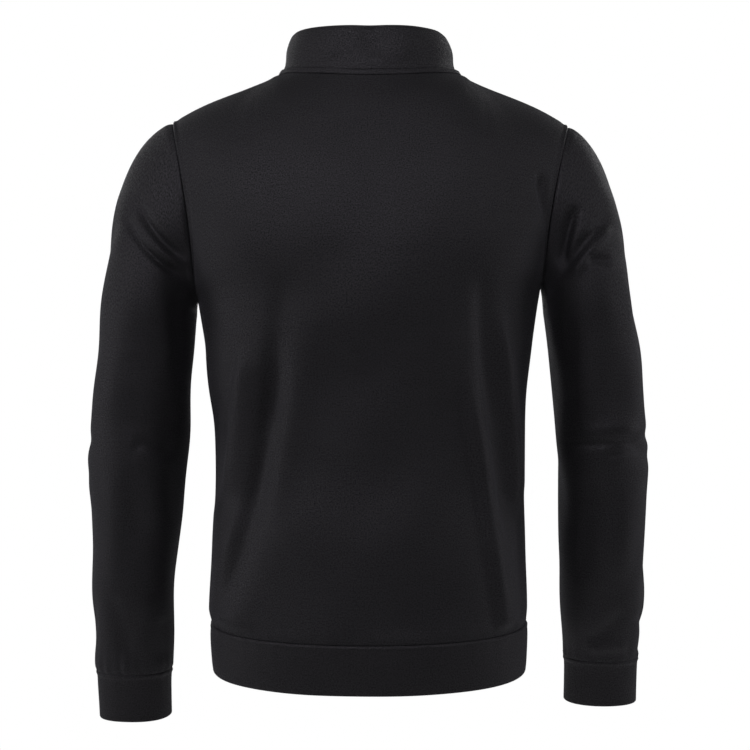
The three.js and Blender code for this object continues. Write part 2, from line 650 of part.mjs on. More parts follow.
function zipFrame(z) {
  const step = 4;
  const up = zipLine(Math.min(z + step, RIM.frontZ)).sub(zipLine(z - step)).normalize();
  const inward = vector(0, up.z, -up.y);
  const clothThere = mix(CLOTH, DOUBLED_CLOTH, limit((z - NECK.frontZ + 20) / 12));
  const lean = -Math.atan2(up.y, up.z);
  return { place: zipLine(z), inward, clothThere, lean };
}

const sliderZ = RIM.frontZ - SLIDER.below;

// A half of the zip: its tape behind the cloth, with the thick edge that carries the teeth.
function zipTape(name, side) {
  const rows = [];
  const start = ZIP_BOTTOM_Z + 1;
  for (let i = 0; i <= TAPE_ROWS; i += 1) {
    const { place, inward, clothThere } = zipFrame(mix(start, sliderZ - 1, i / TAPE_ROWS));
    const middle = clothThere + TAPE_BEHIND;
    const section = [
      { x: SEAM_GAP / 2, deep: middle - CORD_HALF },
      { x: CHAIN_HALF, deep: middle - CORD_HALF },
      { x: CHAIN_HALF, deep: middle },
      { x: TAPE_HALF, deep: middle + TAPE_SINK },
      { x: TAPE_HALF, deep: middle + TAPE_SINK + TAPE_THICK },
      { x: CHAIN_HALF, deep: middle + TAPE_THICK },
      { x: CHAIN_HALF, deep: middle + CORD_HALF },
      { x: SEAM_GAP / 2, deep: middle + CORD_HALF },
    ];
    rows.push(section.map(({ x, deep }) => along(place, inward, deep).setX(side * x)));
  }
  const sides = rows[0].length;
  const positions = rows.flat().flatMap((p) => [p.x, p.y, p.z]);
  const index = [];
  for (let r = 0; r < TAPE_ROWS; r += 1) {
    for (let s = 0; s < sides; s += 1) {
      const next = (s + 1) % sides;
      const a = r * sides + s;
      const b = r * sides + next;
      index.push(a, b, b + sides, a, b + sides, a + sides);
    }
  }
  const ends = [[0, 1, 2], [0, 2, 5], [0, 5, 7], [5, 6, 7], [2, 3, 4], [2, 4, 5]];
  const top = TAPE_ROWS * sides;
  for (const [a, b, c] of ends) index.push(a, c, b, top + a, top + b, top + c);
  return mesh(name, facingOut(positions, index), tapeCloth());
}

// A plate with rounded corners in the XZ plane, from one depth to another along Y.
function plate(wide, long, round, from, to, hole) {
  const shape = new THREE.Shape();
  const w = wide / 2;
  const l = long / 2;
  shape.moveTo(-w + round, -l);
  shape.lineTo(w - round, -l);
  shape.absarc(w - round, -l + round, round, -Math.PI / 2, 0, false);
  shape.absarc(w - round, l - round, round, 0, Math.PI / 2, false);
  shape.absarc(-w + round, l - round, round, Math.PI / 2, Math.PI, false);
  shape.absarc(-w + round, -l + round, round, Math.PI, Math.PI * 1.5, false);
  if (hole) shape.holes.push(hole);
  const solid = new THREE.ExtrudeGeometry(shape, { depth: to - from, bevelEnabled: false, curveSegments: 4 });
  return solid.rotateX(Math.PI / 2).translate(0, to, 0);
}

function asManifold(geometry) {
  const bare = geometry.clone();
  bare.deleteAttribute('normal');
  bare.deleteAttribute('uv');
  const merged = mergeVertices(bare, 1e-4);
  const solid = new wasm.Mesh({
    numProp: 3,
    vertProperties: new Float32Array(merged.attributes.position.array),
    triVerts: new Uint32Array(merged.index.array),
  });
  return new wasm.Manifold(solid);
}

function fromManifold(solid) {
  const data = solid.getMesh();
  const geometry = new THREE.BufferGeometry();
  geometry.setAttribute('position', new THREE.BufferAttribute(new Float32Array(data.vertProperties), 3));
  geometry.setIndex(new THREE.BufferAttribute(new Uint32Array(data.triVerts), 1));
  geometry.computeVertexNormals();
  return geometry;
}

const box = (x, y, z, cx, cy, cz) => new THREE.BoxGeometry(x, y, z).translate(cx, cy, cz);

// The slider stands in its own frame: -Y points out of the garment, +Z up the zip, and the middle
// of the chain is at the origin.
const PLATE_IN = CORD_HALF + 0.35;
const PLATE_OUT = PLATE_IN + SLIDER.plate;
const BAR_OUT = PLATE_OUT + CROWN.clear / 2;
const BAR_UP = -CROWN.window / 2 + PULL.thick * Math.SQRT1_2 + 0.35;

function sliderSolid() {
  const front = plate(SLIDER.wide, SLIDER.long, SLIDER.round, -PLATE_OUT, -PLATE_IN);
  const back = plate(SLIDER.wide, SLIDER.long, SLIDER.round, PLATE_IN, PLATE_OUT);
  const post = box(POST.wide, PLATE_IN + PLATE_OUT, POST.long, 0, 0, POST.up);
  let solid = asManifold(front).add(asManifold(back)).add(asManifold(post));
  for (const side of [LEFT, RIGHT]) {
    const x = side * (SLIDER.wide - FLANGE.wide) / 2;
    for (const [face, reachIn] of [[FRONT, FLANGE.front], [BACK, FLANGE.back]]) {
      const thick = reachIn + SLIDER.plate / 2;
      const y = face * (PLATE_IN + SLIDER.plate / 2 - thick / 2);
      solid = solid.add(asManifold(box(FLANGE.wide, thick, FLANGE.long, x, y, -FLANGE.down)));
    }
  }
  const reachUp = CROWN.window / 2 + CROWN.leg;
  const height = CROWN.clear + CROWN.top;
  const arch = new THREE.Shape();
  arch.moveTo(-reachUp, -CROWN.root);
  arch.lineTo(reachUp, -CROWN.root);
  arch.lineTo(reachUp, height - CROWN.slant);
  arch.lineTo(reachUp - CROWN.slant, height);
  arch.lineTo(-reachUp + CROWN.slant, height);
  arch.lineTo(-reachUp, height - CROWN.slant);
  const hole = new THREE.Path();
  hole.moveTo(-CROWN.window / 2, 0);
  hole.lineTo(-CROWN.window / 2, CROWN.clear);
  hole.lineTo(CROWN.window / 2, CROWN.clear);
  hole.lineTo(CROWN.window / 2, 0);
  arch.holes.push(hole);
  const crown = new THREE.ExtrudeGeometry(arch, { depth: CROWN.wide, bevelEnabled: false });
  crown.translate(0, 0, -CROWN.wide / 2);
  // The arch is drawn up the zip along X and outward along Y, and turns to stand on the front plate.
  const stand = new THREE.Matrix4().makeBasis(vector(0, 0, 1), vector(0, -1, 0), vector(1, 0, 0));
  crown.applyMatrix4(stand);
  crown.translate(0, -PLATE_OUT, 0);
  return fromManifold(solid.add(asManifold(crown)));
}

function pullSolid() {
  const gap = CROWN.wide / 2 + PULL.play;
  const hole = new THREE.Path();
  const middle = PULL.long / 2;
  const axisFromTop = PULL.thick / 2;
  hole.moveTo(-gap, middle - PULL.thick);
  hole.lineTo(gap, middle - PULL.thick);
  hole.lineTo(gap, middle - axisFromTop - PULL.window);
  hole.lineTo(-gap, middle - axisFromTop - PULL.window);
  const tab = plate(PULL.wide, PULL.long, PULL.round, -PULL.thick / 2, PULL.thick / 2, hole);
  return tab.translate(0, 0, axisFromTop - middle);
}

function zip() {
  const group = new THREE.Group();
  group.add(zipTape('zip_tape_left', LEFT), zipTape('zip_tape_right', RIGHT));

  const stopAt = zipFrame(ZIP_BOTTOM_Z + STOP.above);
  const stop = plate(2 * CHAIN_HALF, STOP.long, STOP.round, -STOP.thick / 2, STOP.thick / 2);
  const stopMesh = mesh('zip_stop', stop, darkMetal());
  stopMesh.position.copy(along(stopAt.place, stopAt.inward, stopAt.clothThere + TAPE_BEHIND - STOP.outward));
  stopMesh.rotation.x = stopAt.lean;
  group.add(stopMesh);

  const at = zipFrame(sliderZ);
  const chainMiddle = along(at.place, at.inward, at.clothThere + TAPE_BEHIND);
  const slider = mesh('zip_slider', sliderSolid(), darkMetal());
  slider.position.copy(chainMiddle);
  slider.rotation.x = at.lean;
  group.add(slider);

  const pull = mesh('zip_pull', pullSolid(), darkMetal());
  pull.position.copy(vector(0, -BAR_OUT, BAR_UP).applyAxisAngle(vector(1, 0, 0), at.lean).add(chainMiddle));
  group.add(pull);
  return group;
}

// ---------------------------------------------------------------- the garment
const sweatshirt = new THREE.Group();
sweatshirt.add(panel('back', BACK), panel('front', FRONT));
sweatshirt.add(sleeve('sleeve_left', LEFT), sleeve('sleeve_right', RIGHT));
sweatshirt.add(collar(), hemBand());
sweatshirt.add(cuff('cuff_left', LEFT), cuff('cuff_right', RIGHT));
sweatshirt.add(zip());

export default sweatshirt;
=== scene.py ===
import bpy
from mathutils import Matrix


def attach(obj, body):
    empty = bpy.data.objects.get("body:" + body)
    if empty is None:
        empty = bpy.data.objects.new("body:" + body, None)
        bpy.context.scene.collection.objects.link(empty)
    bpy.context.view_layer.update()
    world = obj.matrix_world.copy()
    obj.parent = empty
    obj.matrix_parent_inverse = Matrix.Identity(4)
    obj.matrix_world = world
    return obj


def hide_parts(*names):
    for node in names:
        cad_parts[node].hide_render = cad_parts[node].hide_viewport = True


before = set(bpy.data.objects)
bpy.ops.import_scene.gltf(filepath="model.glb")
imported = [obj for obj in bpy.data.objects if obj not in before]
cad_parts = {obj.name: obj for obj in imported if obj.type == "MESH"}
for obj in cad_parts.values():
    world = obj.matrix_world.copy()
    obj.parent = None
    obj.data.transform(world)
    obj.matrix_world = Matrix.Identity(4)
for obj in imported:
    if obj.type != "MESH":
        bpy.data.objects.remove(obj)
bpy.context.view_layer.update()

import functools
import math

import bmesh
import bpy
import numpy as np
from bpy.props import FloatProperty, FloatVectorProperty, PointerProperty
from mathutils import Vector

bl_info = {
    "name": "Half-zip sweatshirt",
    "version": (1, 0, 0),
    "blender": (4, 5, 0),
    "location": "View3D > Sidebar > Sweatshirt",
    "description": "Makes a half-zip sweatshirt from its cut pieces, zip and sewing",
    "category": "Object",
}

# The shape is worked out in millimetres, +Z up. The wearer faces -Y and the wearer's left is +X.
MM = 0.001
LEFT, RIGHT = 1, -1
SIDES = (("left", LEFT), ("right", RIGHT))
BACK, FRONT = 1, -1
GARMENT, PULL = "garment", "pull"
KNIT_SLOT, TAPE_SLOT, METAL_SLOT = "body_knit", "zip_tape", "zip_metal"


def rows(columns, *lines):
    """A table as one array of numbers for each named column."""
    return dict(zip(columns.split(), np.array(lines, float).T))


# ---------------------------------------------------------------- the cut
# Body sections by height: half-width on each side, reach behind and in front of the side seams.
BODY = rows(
    "z left right back front",
    (-660, 171.0, 170.0, 113, 108),
    (-597, 173.5, 171.0, 116, 111),
    (-508, 171.5, 170.5, 112, 107),
    (-430, 169.5, 168.5, 105, 103),
    (-354, 172.5, 170.5, 107, 108),
    (-299, 180.0, 177.0, 113, 114),
    (-247, 188.6, 184.5, 118, 118),
    (-232, 189.5, 187.0, 119, 118),
    (-180, 190.0, 188.0, 119, 113),
    (-125, 190.0, 188.0, 111, 99),
    (-78, 190.0, 188.0, 97, 81),
    (-40, 190.0, 188.0, 82, 70),
    (-11, 190.0, 188.0, 67, 66),
)
FULLNESS = 0.035
HEM_SEAM = {"middle": -600, "side": -594}
HEM_EDGE = {"middle": -652, "side": -647}
CHEST_Z = -240
SHOULDER_BLADE_TURN = math.radians(38)

ARMHOLE = {
    LEFT: {"shoulder_x": 216, "shoulder_z": -50.5, "under_x": 188.6, "under_z": -247.5},
    RIGHT: {"shoulder_x": 217, "shoulder_z": -54.5, "under_x": 187, "under_z": -232},
}
ARMHOLE_REACH = {BACK: 54, FRONT: 50}
ARMHOLE_HOLLOW, ARMHOLE_CURVE, ARMHOLE_TILT = 3.5, 1.5, 0.45

NECK_HALF_WIDTH = 100
NECK_REACH = {BACK: 67, FRONT: 81}
NECK_DROP = {BACK: -13, FRONT: -78}
NECK_CURVE = {BACK: 2, FRONT: 1.7}
NECK_IN, NECK_DOWN = 0.8, 0.6
RIM_HALF_WIDTH = {LEFT: 82.5, RIGHT: 78.5}
RIM_REACH = {BACK: 60, FRONT: 82}
RIM_Z = {BACK: 42, FRONT: -16}
RIM_SIDE_Z = 46
SHOULDER_RISE, SHOULDER_CURVE = 4.5, 1.6
# How the collar leans in from the neck seam to its rim, as shares of its height and of its lean.
COLLAR_LEAN = rows("z lean", (0, 0), (0.2, 0.34), (0.6, 0.46), (0.9, 0.74), (1, 1))

# Sleeve rings by height: outer and inner side, middle of the depth, half of the depth.
SLEEVE = {
    LEFT: rows(
        "z outer inner y deep",
        (-266, 295.5, 191.6, -4, 66),
        (-300, 299.5, 194.0, -5, 65),
        (-354, 304.5, 198.0, -8, 62),
        (-410, 308.5, 202.5, -10, 58),
        (-464, 308.0, 208.0, -13, 55),
        (-520, 307.5, 213.5, -17, 51),
        (-590, 308.0, 220.0, -22, 46),
        (-655, 306.5, 221.5, -27, 39),
        (-708, 302.5, 223.0, -30, 35),
    ),
    RIGHT: rows(
        "z outer inner y deep",
        (-266, 290.5, 193.0, -4, 66),
        (-300, 296.5, 197.0, -6, 65),
        (-354, 302.5, 204.0, -9, 62),
        (-410, 306.5, 207.7, -14, 58),
        (-464, 306.5, 211.0, -21, 55),
        (-520, 307.0, 213.0, -30, 51),
        (-590, 308.0, 216.5, -45, 46),
        (-648, 307.3, 221.0, -60, 39),
        (-701, 306.0, 223.5, -69, 35),
    ),
}
# How far the sleeve cap runs on outward at the armhole and straight down at its first ring.
CAP_PULL = {LEFT: 220, RIGHT: 180, "flank": 90, "under": 14}
CAP_DROP = {LEFT: 280, RIGHT: 300, "flank": 120, "under": 20}
CAP_SINK = 1.1
SLEEVE_FULLNESS = 0.02
CUFF_OUT = rows("z out", (0, -0.4), (0.12, -1.4), (0.6, -0.84), (1, 0))
HEM_OUT = rows("z out", (0, 0), (0.25, 1.2), (0.8, 0.8), (1, 0))

# ---------------------------------------------------------------- folds
# Soft ridges (lift above 0) and troughs, each along a bowed line from one point to another. skew
# makes the fold's one flank steeper than the other.
FOLD = "x0 z0 x1 z1 bow width lift skew"
BODY_FOLDS = {
    BACK: rows(
        FOLD,
        # wearer's left side: the long trough from the armhole to the hem, with a ridge beside it
        (90, -215, 114, -400, 5, 12, -3.0, 0.2),
        (97, -275, 160, -600, 10, 12, -8.5, 0.3),
        (60, -240, 108, -480, 8, 17, 2.5, 0.0),
        (128, -290, 153, -465, 2, 10, 6.5, 0.3),
        (161, -340, 168, -480, 0, 7, -2.5, 0.0),
        (138, -450, 149, -700, -2, 20, 6.5, 0.0),
        # wearer's right side: two ridges with a trough between them
        (-112, -210, -152, -515, -6, 10, -6.0, 0.2),
        (-94, -300, -147, -660, 4, 10, 7.5, 0.3),
        (-136, -255, -161, -490, -2, 8, 7.5, 0.3),
        (-163, -440, -160, -640, 0, 7, -3.5, 0.0),
        (-176, -112, -193, -178, -2, 6, -6.0, 0.2),
        # between the shoulder blades
        (-40, -60, -52, -210, 0, 32, 1.0, 0.0),
        (46, -65, 46, -215, 0, 34, 1.0, 0.0),
        (0, -80, -4, -270, 0, 26, -1.2, 0.0),
    ),
    FRONT: rows(
        FOLD,
        (92, -225, 138, -520, 6, 12, -5.5, 0.0),
        (126, -300, 150, -480, 3, 9, 4.0, 0.0),
        (104, -420, 120, -690, 0, 24, 5.5, 0.0),
        (-98, -240, -146, -530, -6, 12, -5.5, 0.0),
        (-84, -320, -132, -660, 3, 13, 4.5, 0.0),
        (-134, -280, -156, -500, -2, 8, 4.0, 0.0),
        (172, -140, 108, -225, 6, 12, -3.0, 0.2),
        (-170, -135, -106, -220, -6, 12, -3.0, 0.2),
        (162, -170, 118, -240, 4, 12, 2.2, 0.0),
        (-34, -300, -50, -640, -6, 22, -2.4, 0.0),
        (36, -290, 58, -640, 5, 20, -2.4, 0.0),
        (16, -420, 22, -690, 0, 16, 2.0, 0.0),
    ),
}
SLEEVE_FOLDS = {
    BACK: rows(
        FOLD,
        # wearer's left sleeve, from the armhole down
        (252, -134, 190, -207, -8, 6.2, -6.2, 0.15),
        (264, -150, 188, -228, -9, 6.4, -6.6, 0.15),
        (256, -155, 196, -214, -8, 5.6, 4.0, 0.0),
        (268, -120, 262, -205, -4, 12, 2.4, 0.0),
        (206, -235, 204, -340, 0, 7, -3.5, 0.0),
        (250, -300, 262, -398, 4, 20, -2.0, 0.0),
        (206, -412, 252, -396, 3, 9, -2.8, 0.1),
        (250, -404, 210, -424, 0, 9, 1.8, 0.0),
        (253, -420, 246, -510, 0, 12, -2.6, 0.0),
        (272, -430, 280, -560, 0, 14, 2.0, 0.0),
        (224, -590, 226, -645, 0, 8, -2.6, 0.0),
        (284, -560, 262, -640, 3, 12, -2.2, 0.0),
        (240, -560, 250, -640, 0, 10, 2.0, 0.0),
        # wearer's right sleeve
        (-220, -146, -200, -216, -3, 6.2, -7.6, 0.0),
        (-258, -156, -195, -229, -3, 6.2, -5.4, -0.15),
        (-262, -166, -212, -226, -3, 5.6, 3.4, 0.0),
        (-226, -204, -256, -207, 0, 5.0, -4.2, 0.0),
        (-262, -118, -268, -200, 3, 13, 2.2, 0.0),
        (-210, -250, -214, -400, 0, 9, -3.0, 0.0),
        (-252, -250, -268, -380, -5, 20, -2.0, 0.0),
        (-199, -405, -300, -401, 3, 4.8, -3.6, 0.2),
        (-222, -392, -292, -384, 3, 9.0, 2.2, 0.0),
        (-246, -414, -300, -406, 0, 5.5, -2.6, 0.3),
        (-236, -430, -232, -560, 0, 12, -2.6, 0.0),
        (-268, -430, -274, -560, 2, 14, 2.2, 0.0),
        (-282, -585, -238, -625, 4, 9, -2.4, 0.0),
        (-290, -628, -240, -632, 0, 8, 2.6, 0.0),
    ),
    FRONT: rows(
        FOLD,
        (250, -140, 192, -214, 4, 7, -4.5, 0.2),
        (262, -158, 196, -232, 4, 7, -4.0, 0.2),
        (-250, -145, -192, -217, -4, 7, -4.5, -0.2),
        (-262, -164, -198, -236, -4, 7, -3.5, 0.0),
        (206, -430, 292, -412, 4, 8, -5.0, 0.2),
        (214, -462, 280, -452, 4, 7, -4.5, 0.0),
        (222, -446, 286, -432, 3, 9, 3.0, 0.0),
        (-206, -425, -294, -405, -4, 8, -5.0, 0.2),
        (-214, -456, -286, -446, -4, 8, -4.5, 0.0),
        (-218, -440, -290, -425, -3, 9, 3.0, 0.0),
        (236, -480, 246, -600, 0, 13, -2.6, 0.0),
        (-240, -490, -250, -610, 0, 13, -2.6, 0.0),
        (270, -500, 262, -640, 0, 12, 2.2, 0.0),
        (-274, -480, -268, -630, 0, 12, 2.2, 0.0),
        (262, -250, 268, -380, 4, 20, -2.2, 0.0),
        (-258, -240, -266, -370, -4, 20, -2.2, 0.0),
    ),
}
# The same on a sleeve's outer side, by depth and height, for each arm.
SLEEVE_SIDE_FOLDS = {
    LEFT: rows(
        FOLD,
        (40, -150, -10, -250, 6, 12, -1.2, 0.0),
        (30, -395, -40, -418, 4, 9, -2.0, 0.0),
        (-44, -410, 12, -440, 3, 10, -1.8, 0.0),
        (-6, -470, -18, -600, 3, 13, 0.9, 0.0),
        (12, -560, -10, -640, 3, 10, -2.4, 0.0),
    ),
    RIGHT: rows(
        FOLD,
        (34, -160, -14, -255, 6, 12, -1.2, 0.0),
        (44, -398, -52, -400, 6, 8, -2.6, 0.0),
        (40, -412, -46, -428, 4, 9, -1.8, 0.0),
        (-20, -450, -48, -600, 4, 13, 0.9, 0.0),
        (-10, -590, -62, -630, 3, 9, -2.8, 0.0),
    ),
}
# Dents of the collar, by width and height.
COLLAR_FOLDS = {
    BACK: rows(
        FOLD,
        (5, 68, -7, 4, 0, 15, -3.8, 0.0),
        (-34, 2, -46, 30, 2, 12, 0.9, 0.0),
        (40, 4, 52, 34, -2, 12, 0.9, 0.0),
    ),
    FRONT: rows(
        FOLD,
        (50, -10, 66, 20, 3, 9, -1.6, 0.0),
        (-52, -12, -64, 18, -3, 9, -1.6, 0.0),
        (30, -50, 44, -20, 0, 10, 1.2, 0.0),
        (-30, -48, -42, -22, 0, 10, 1.2, 0.0),
    ),
}
FOLD_FADE = 5.2
# How soon the folds of a sleeve's back, front and outer side die out round it.
FACE_SPREAD, SIDE_SPREAD = 0.6, 0.8
# How far from each edge the folds and waves reach their full height.
FADE = {
    "side": 20, "top": 26, "hem": 17, "slit": 16, "armhole": 9, "cuff": 12, "band seam": 20,
    "collar seam": 14, "collar front": 12, "collar fold": 10,
}
# Shallow waves over each cloth: height, shortest and longest wave.
WAVES = {"panel": (0.5, 80, 190), "sleeve": (0.5, 55, 150), "collar": (0.35, 50, 150)}
# Ripples round the bands: fewest and most in a ring, and how many kinds are laid over each other.
HEM_GATHERS, HEM_RIPPLES, HEM_RIPPLE_HEIGHT = (22, 60, 9), (3, 11, 6), 0.5
CUFF_GATHERS, CUFF_RIPPLES, CUFF_RIPPLE_HEIGHT = (8, 20), (2, 6, 4), 0.7
SEED = {
    "panel": 3, "panel hem": 8, "sleeve": 21, "sleeve cuff": 31, "hem band": 44, "hem fold": 45,
    "cuff": 51, "cuff fold": 57, "collar": 61, "collar seam": 64,
}

# ---------------------------------------------------------------- seams and grid lines
# Numbers of grid lines across and along the pieces.
LINES = {
    "panel side": 36, "back middle": 36, "front middle": 34, "below slit": 106, "beside slit": 11,
    "upper panel": 66, "cap": 76, "sleeve": 118, "band": 14, "hem quarter": 74,
    "collar back": 56, "collar front": 52, "tape": 124,
}
# Distances of the first grid lines from a sewn edge; the first is half of the gap at a seam.
EDGE_STEPS = np.array([0.005, 0.25, 0.55, 0.9, 1.35, 1.9, 2.6, 3.5, 4.6, 6.2])
# The same towards the fold of a doubled band, down to the fold itself.
FOLD_STEPS = np.array([6.2, 4.6, 3.4, 2.5, 1.8, 1.25, 0.8, 0.45, 0.2, 0.07, 0.0])
# The ridges (above 0) and grooves that sewing leaves beside a seam: height, distance and width.
RELIEF = {
    "panel armhole": ((0.5, 2.6, 1.6), (-0.6, 6.0, 2.0), (-0.9, 0, 1.0)),
    "panel hem": ((-0.5, 0, 3.0),),
    "panel zip": ((-0.5, 5.2, 0.8),),
    "sleeve armhole": ((-0.7, 0, 4.0), (-1.0, 0, 1.0)),
    "sleeve cuff": ((-0.5, 0, 3.0),),
    "hem band": ((0.6, 3.0, 2.2), (-0.5, 0, 1.2)),
    "cuff": ((0.5, 3.0, 2.0), (-0.5, 0, 1.2)),
    "collar": ((-0.6, 6.7, 0.7),),
}
# The gathers at a seam: height, how far they reach and how soon they start.
GATHERS = {
    "panel hem": (1.1, 13, 4),
    "sleeve cuff": (1.7, 16, 4),
    "hem band": (0.9, 16, 3),
    "cuff": (0.8, 12, 3),
    "collar": (0.7, 12, 5),
}
# Radius of each kind of cloth edge, as a share of the cloth's thickness.
EDGE_ROUND = {
    "sewn": 0.42, "shoulder": 0.12, "band seam": 0.25, "fold": 0.485, "collar seam": 0.2, "zip": 0.45,
}
# Over how far an edge's thickness turns to lie along its seam or fold.
SEAM_TURN, FOLD_TURN, COLLAR_SEAM_TURN = 4, 5, 3

# ---------------------------------------------------------------- zip
ZIP_BOTTOM_Z = -270
SLIT_HALF = 7
CHAIN_HALF = 2.6
SLIDER_BELOW_RIM = 12
CLOTH_AT_ZIP, DOUBLED_AT_ZIP = 2.0, 3.0
# How far below the neck seam the cloth at the zip gets thicker, and over what height.
THICKER_BELOW_NECK, THICKER_OVER = 20, 12
# The tape, across from its corded edge to its other one.
TAPE_EDGE, TAPE_HALF = 0.5, 12
TAPE_COLUMNS = (0.5, 0.7, 1.0, 1.4, 1.8, 2.2, 2.6, 3.1, *np.linspace(3.7, 11.4, 12), 11.8, 12.0)
TAPE_THICK, TAPE_ROUND = 0.7, 0.3
TAPE_BEHIND, TAPE_SINK, TAPE_BELOW = 0.9, 0.6, 8
CORD_HEIGHT, CORD_MIDDLE, CORD_WIDTH = 0.55, 1.4, 0.85
RIB_HEIGHT, RIB_CREST, RIB_STEP, RIBS_FROM, RIBS_TO = 0.07, 4.4, 1.9, 3.4, 7.3
TEETH_FROM, TEETH_TO, TEETH_PATH_STEP = 6.6, 4, 2.0
# The upper half of a tooth, from its shank on the tape to its head past the middle.
TOOTH_OUTLINE = (
    (2.7, 0.62), (1.5, 0.66), (0.55, 0.46), (0.1, 0.46), (-0.25, 0.66), (-0.85, 0.62), (-1.15, 0.3),
)
TOOTH_HALF_DEPTH, TOOTH_CHAMFER, TOOTH_SHANK_X = 1.15, 0.22, 0.8
SHANK_INSET, HEAD_INSET, TOP_INSET = 0.7, -0.4, 0.7

# ---------------------------------------------------------------- camera, light and floor, in metres
CAMERA_PLACE, CAMERA_LENS, CAMERA_SENSOR = (-0.0055, 1.370, -0.327), 59.8, 36
CAMERA_NEAR, CAMERA_FAR = 0.05, 50
AIR_STRENGTH, AIR_FROM, AIR_TO, AIR_BELOW = 0.1, -0.6, 1.0, 0.35
FLOOR_RADIUS, FLOOR_Z, FLOOR_RINGS, FLOOR_SPOKES = 2.1, -1.45, 12, 96
WHITE, COOL, COOLER, COOLEST = (1, 1, 1), (0.95, 0.93, 1), (0.95, 0.92, 1), (0.93, 0.89, 1)
# Softboxes: name, place, aim, width, height, watts and colour.
SOFTBOXES = (
    ("key", (0.3, 2.0, 1.1), (0, 0.1, -0.15), 1.3, 0.5, 14, COOLEST),
    ("above_left", (2.0, 0.9, 0.9), (0.25, 0, -0.15), 0.6, 0.6, 6, COOLER),
    ("above_right", (-2.0, 0.9, 0.9), (-0.25, 0, -0.15), 0.6, 0.6, 4.8, COOLER),
    ("beside_left", (2.0, 0.2, -0.4), (0.1, 0, -0.45), 0.7, 0.7, 4.6, COOL),
    ("beside_right", (-2.0, -0.1, -0.4), (-0.1, 0, -0.45), 0.7, 0.7, 3.4, COOL),
    ("before_left", (1.5, -1.4, 0.8), (0, 0, -0.3), 0.9, 0.9, 4.0, WHITE),
    ("before_right", (-1.5, -1.4, 0.8), (0, 0, -0.3), 0.9, 0.9, 4.0, WHITE),
    ("front_key", (0.35, -2.2, 0.35), (0, -0.1, -0.25), 1.3, 0.6, 11, WHITE),
)


# ---------------------------------------------------------------- small tools
def mix(a, b, share):
    return a + (b - a) * share


def smooth(share):
    share = np.clip(share, 0, 1)
    return share * share * (3 - 2 * share)


def hump(distance, middle, width):
    """A soft bump of height 1 round one distance."""
    return np.exp(-(((distance - middle) / width) ** 2))


def point(x, y, z):
    return np.stack(np.broadcast_arrays(np.asarray(x, float), y, z), -1)


def unit(vectors):
    """Each vector at length 1."""
    return vectors / np.maximum(np.linalg.norm(vectors, axis=-1, keepdims=True), 1e-9)


def curve(t, start, run_out, end, run_in):
    """A smooth curve from one place to another, with the run that it leaves and arrives with."""
    leave = start * (2 * t**3 - 3 * t**2 + 1) + run_out * (t**3 - 2 * t**2 + t)
    return leave + end * (3 * t**2 - 2 * t**3) + run_in * (t**3 - t**2)


def read(table, column, z):
    """A column of a table, read at any height by a smooth curve through its rows."""
    heights, values = table["z"], table[column]
    if heights[0] > heights[-1]:
        heights, values = heights[::-1], values[::-1]
    last = len(values) - 1
    low = np.maximum(np.arange(last + 1) - 1, 0)
    high = np.minimum(np.arange(last + 1) + 1, last)
    slope = (values[high] - values[low]) / (heights[high] - heights[low])
    i = np.clip(np.searchsorted(heights, z, side="right") - 1, 0, last - 1)
    span = heights[i + 1] - heights[i]
    t = np.clip((z - heights[i]) / span, 0, 1)
    return curve(t, values[i], span * slope[i], values[i + 1], span * slope[i + 1])


def fold_lift(folds, x, z):
    """How far the folds of a table lift the cloth at each place."""
    lift = np.zeros(np.broadcast(x, z).shape)
    for x0, z0, x1, z1, bow, width, height, skew in zip(*folds.values()):
        dx, dz = x1 - x0, z1 - z0
        length = math.hypot(dx, dz)
        share = ((x - x0) * dx + (z - z0) * dz) / length**2
        off = ((x - x0) * dz - (z - z0) * dx) / length
        inside = np.clip(share, 0, 1)
        bowed = off - bow * 4 * inside * (1 - inside)
        fade = smooth(np.minimum(1, FOLD_FADE * inside * (1 - inside)))
        breadth = width * (1 + skew * np.sign(bowed))
        lift += height * fade * np.exp(-((bowed / breadth) ** 2))
    return lift


def soft_waves(a, b, seed, height, shortest, longest, count=14):
    """Uneven, shallow waves over a cloth, the longer ones the higher."""
    rng = np.random.default_rng(seed)
    lift = np.zeros(np.broadcast(a, b).shape)
    for _ in range(count):
        wave = shortest * (longest / shortest) ** rng.random()
        turn = rng.random() * 2 * math.pi
        start = rng.random() * 2 * math.pi
        phase = (a * math.cos(turn) + b * math.sin(turn)) * 2 * math.pi / wave
        lift += height * (wave / longest) * np.sin(phase + start)
    return lift


def puckers(along, seed, wave=13, count=7):
    """Short uneven gathers along a seam."""
    rng = np.random.default_rng(seed)
    lift = np.zeros(np.shape(along))
    for _ in range(count):
        size = wave * (0.6 + 1.1 * rng.random())
        lift += np.sin(along * 2 * math.pi / size + rng.random() * 2 * math.pi) / count
    return lift


def ring_puckers(turn, seed, fewest=9, most=27, count=7):
    """The same round a ring, with a whole number of each."""
    rng = np.random.default_rng(seed)
    lift = np.zeros(np.shape(turn))
    for _ in range(count):
        lift += np.sin(turn * rng.integers(fewest, most) + rng.random() * 2 * math.pi) / count
    return lift


def gathered(ripple, distance, seam):
    """Gathers at their height beside a seam, fading out away from it."""
    height, reaches, starts = GATHERS[seam]
    return height * ripple * np.exp(-distance / reaches) * smooth(distance / starts)


def fade_in(distance, edge):
    """0 at an edge, and 1 from where the folds and waves have their full height."""
    return smooth(distance / FADE[edge])


def relief(distance, seam):
    """How far the ridges and grooves beside a seam lift the cloth."""
    return sum(height * hump(distance, middle, width) for height, middle, width in RELIEF[seam])


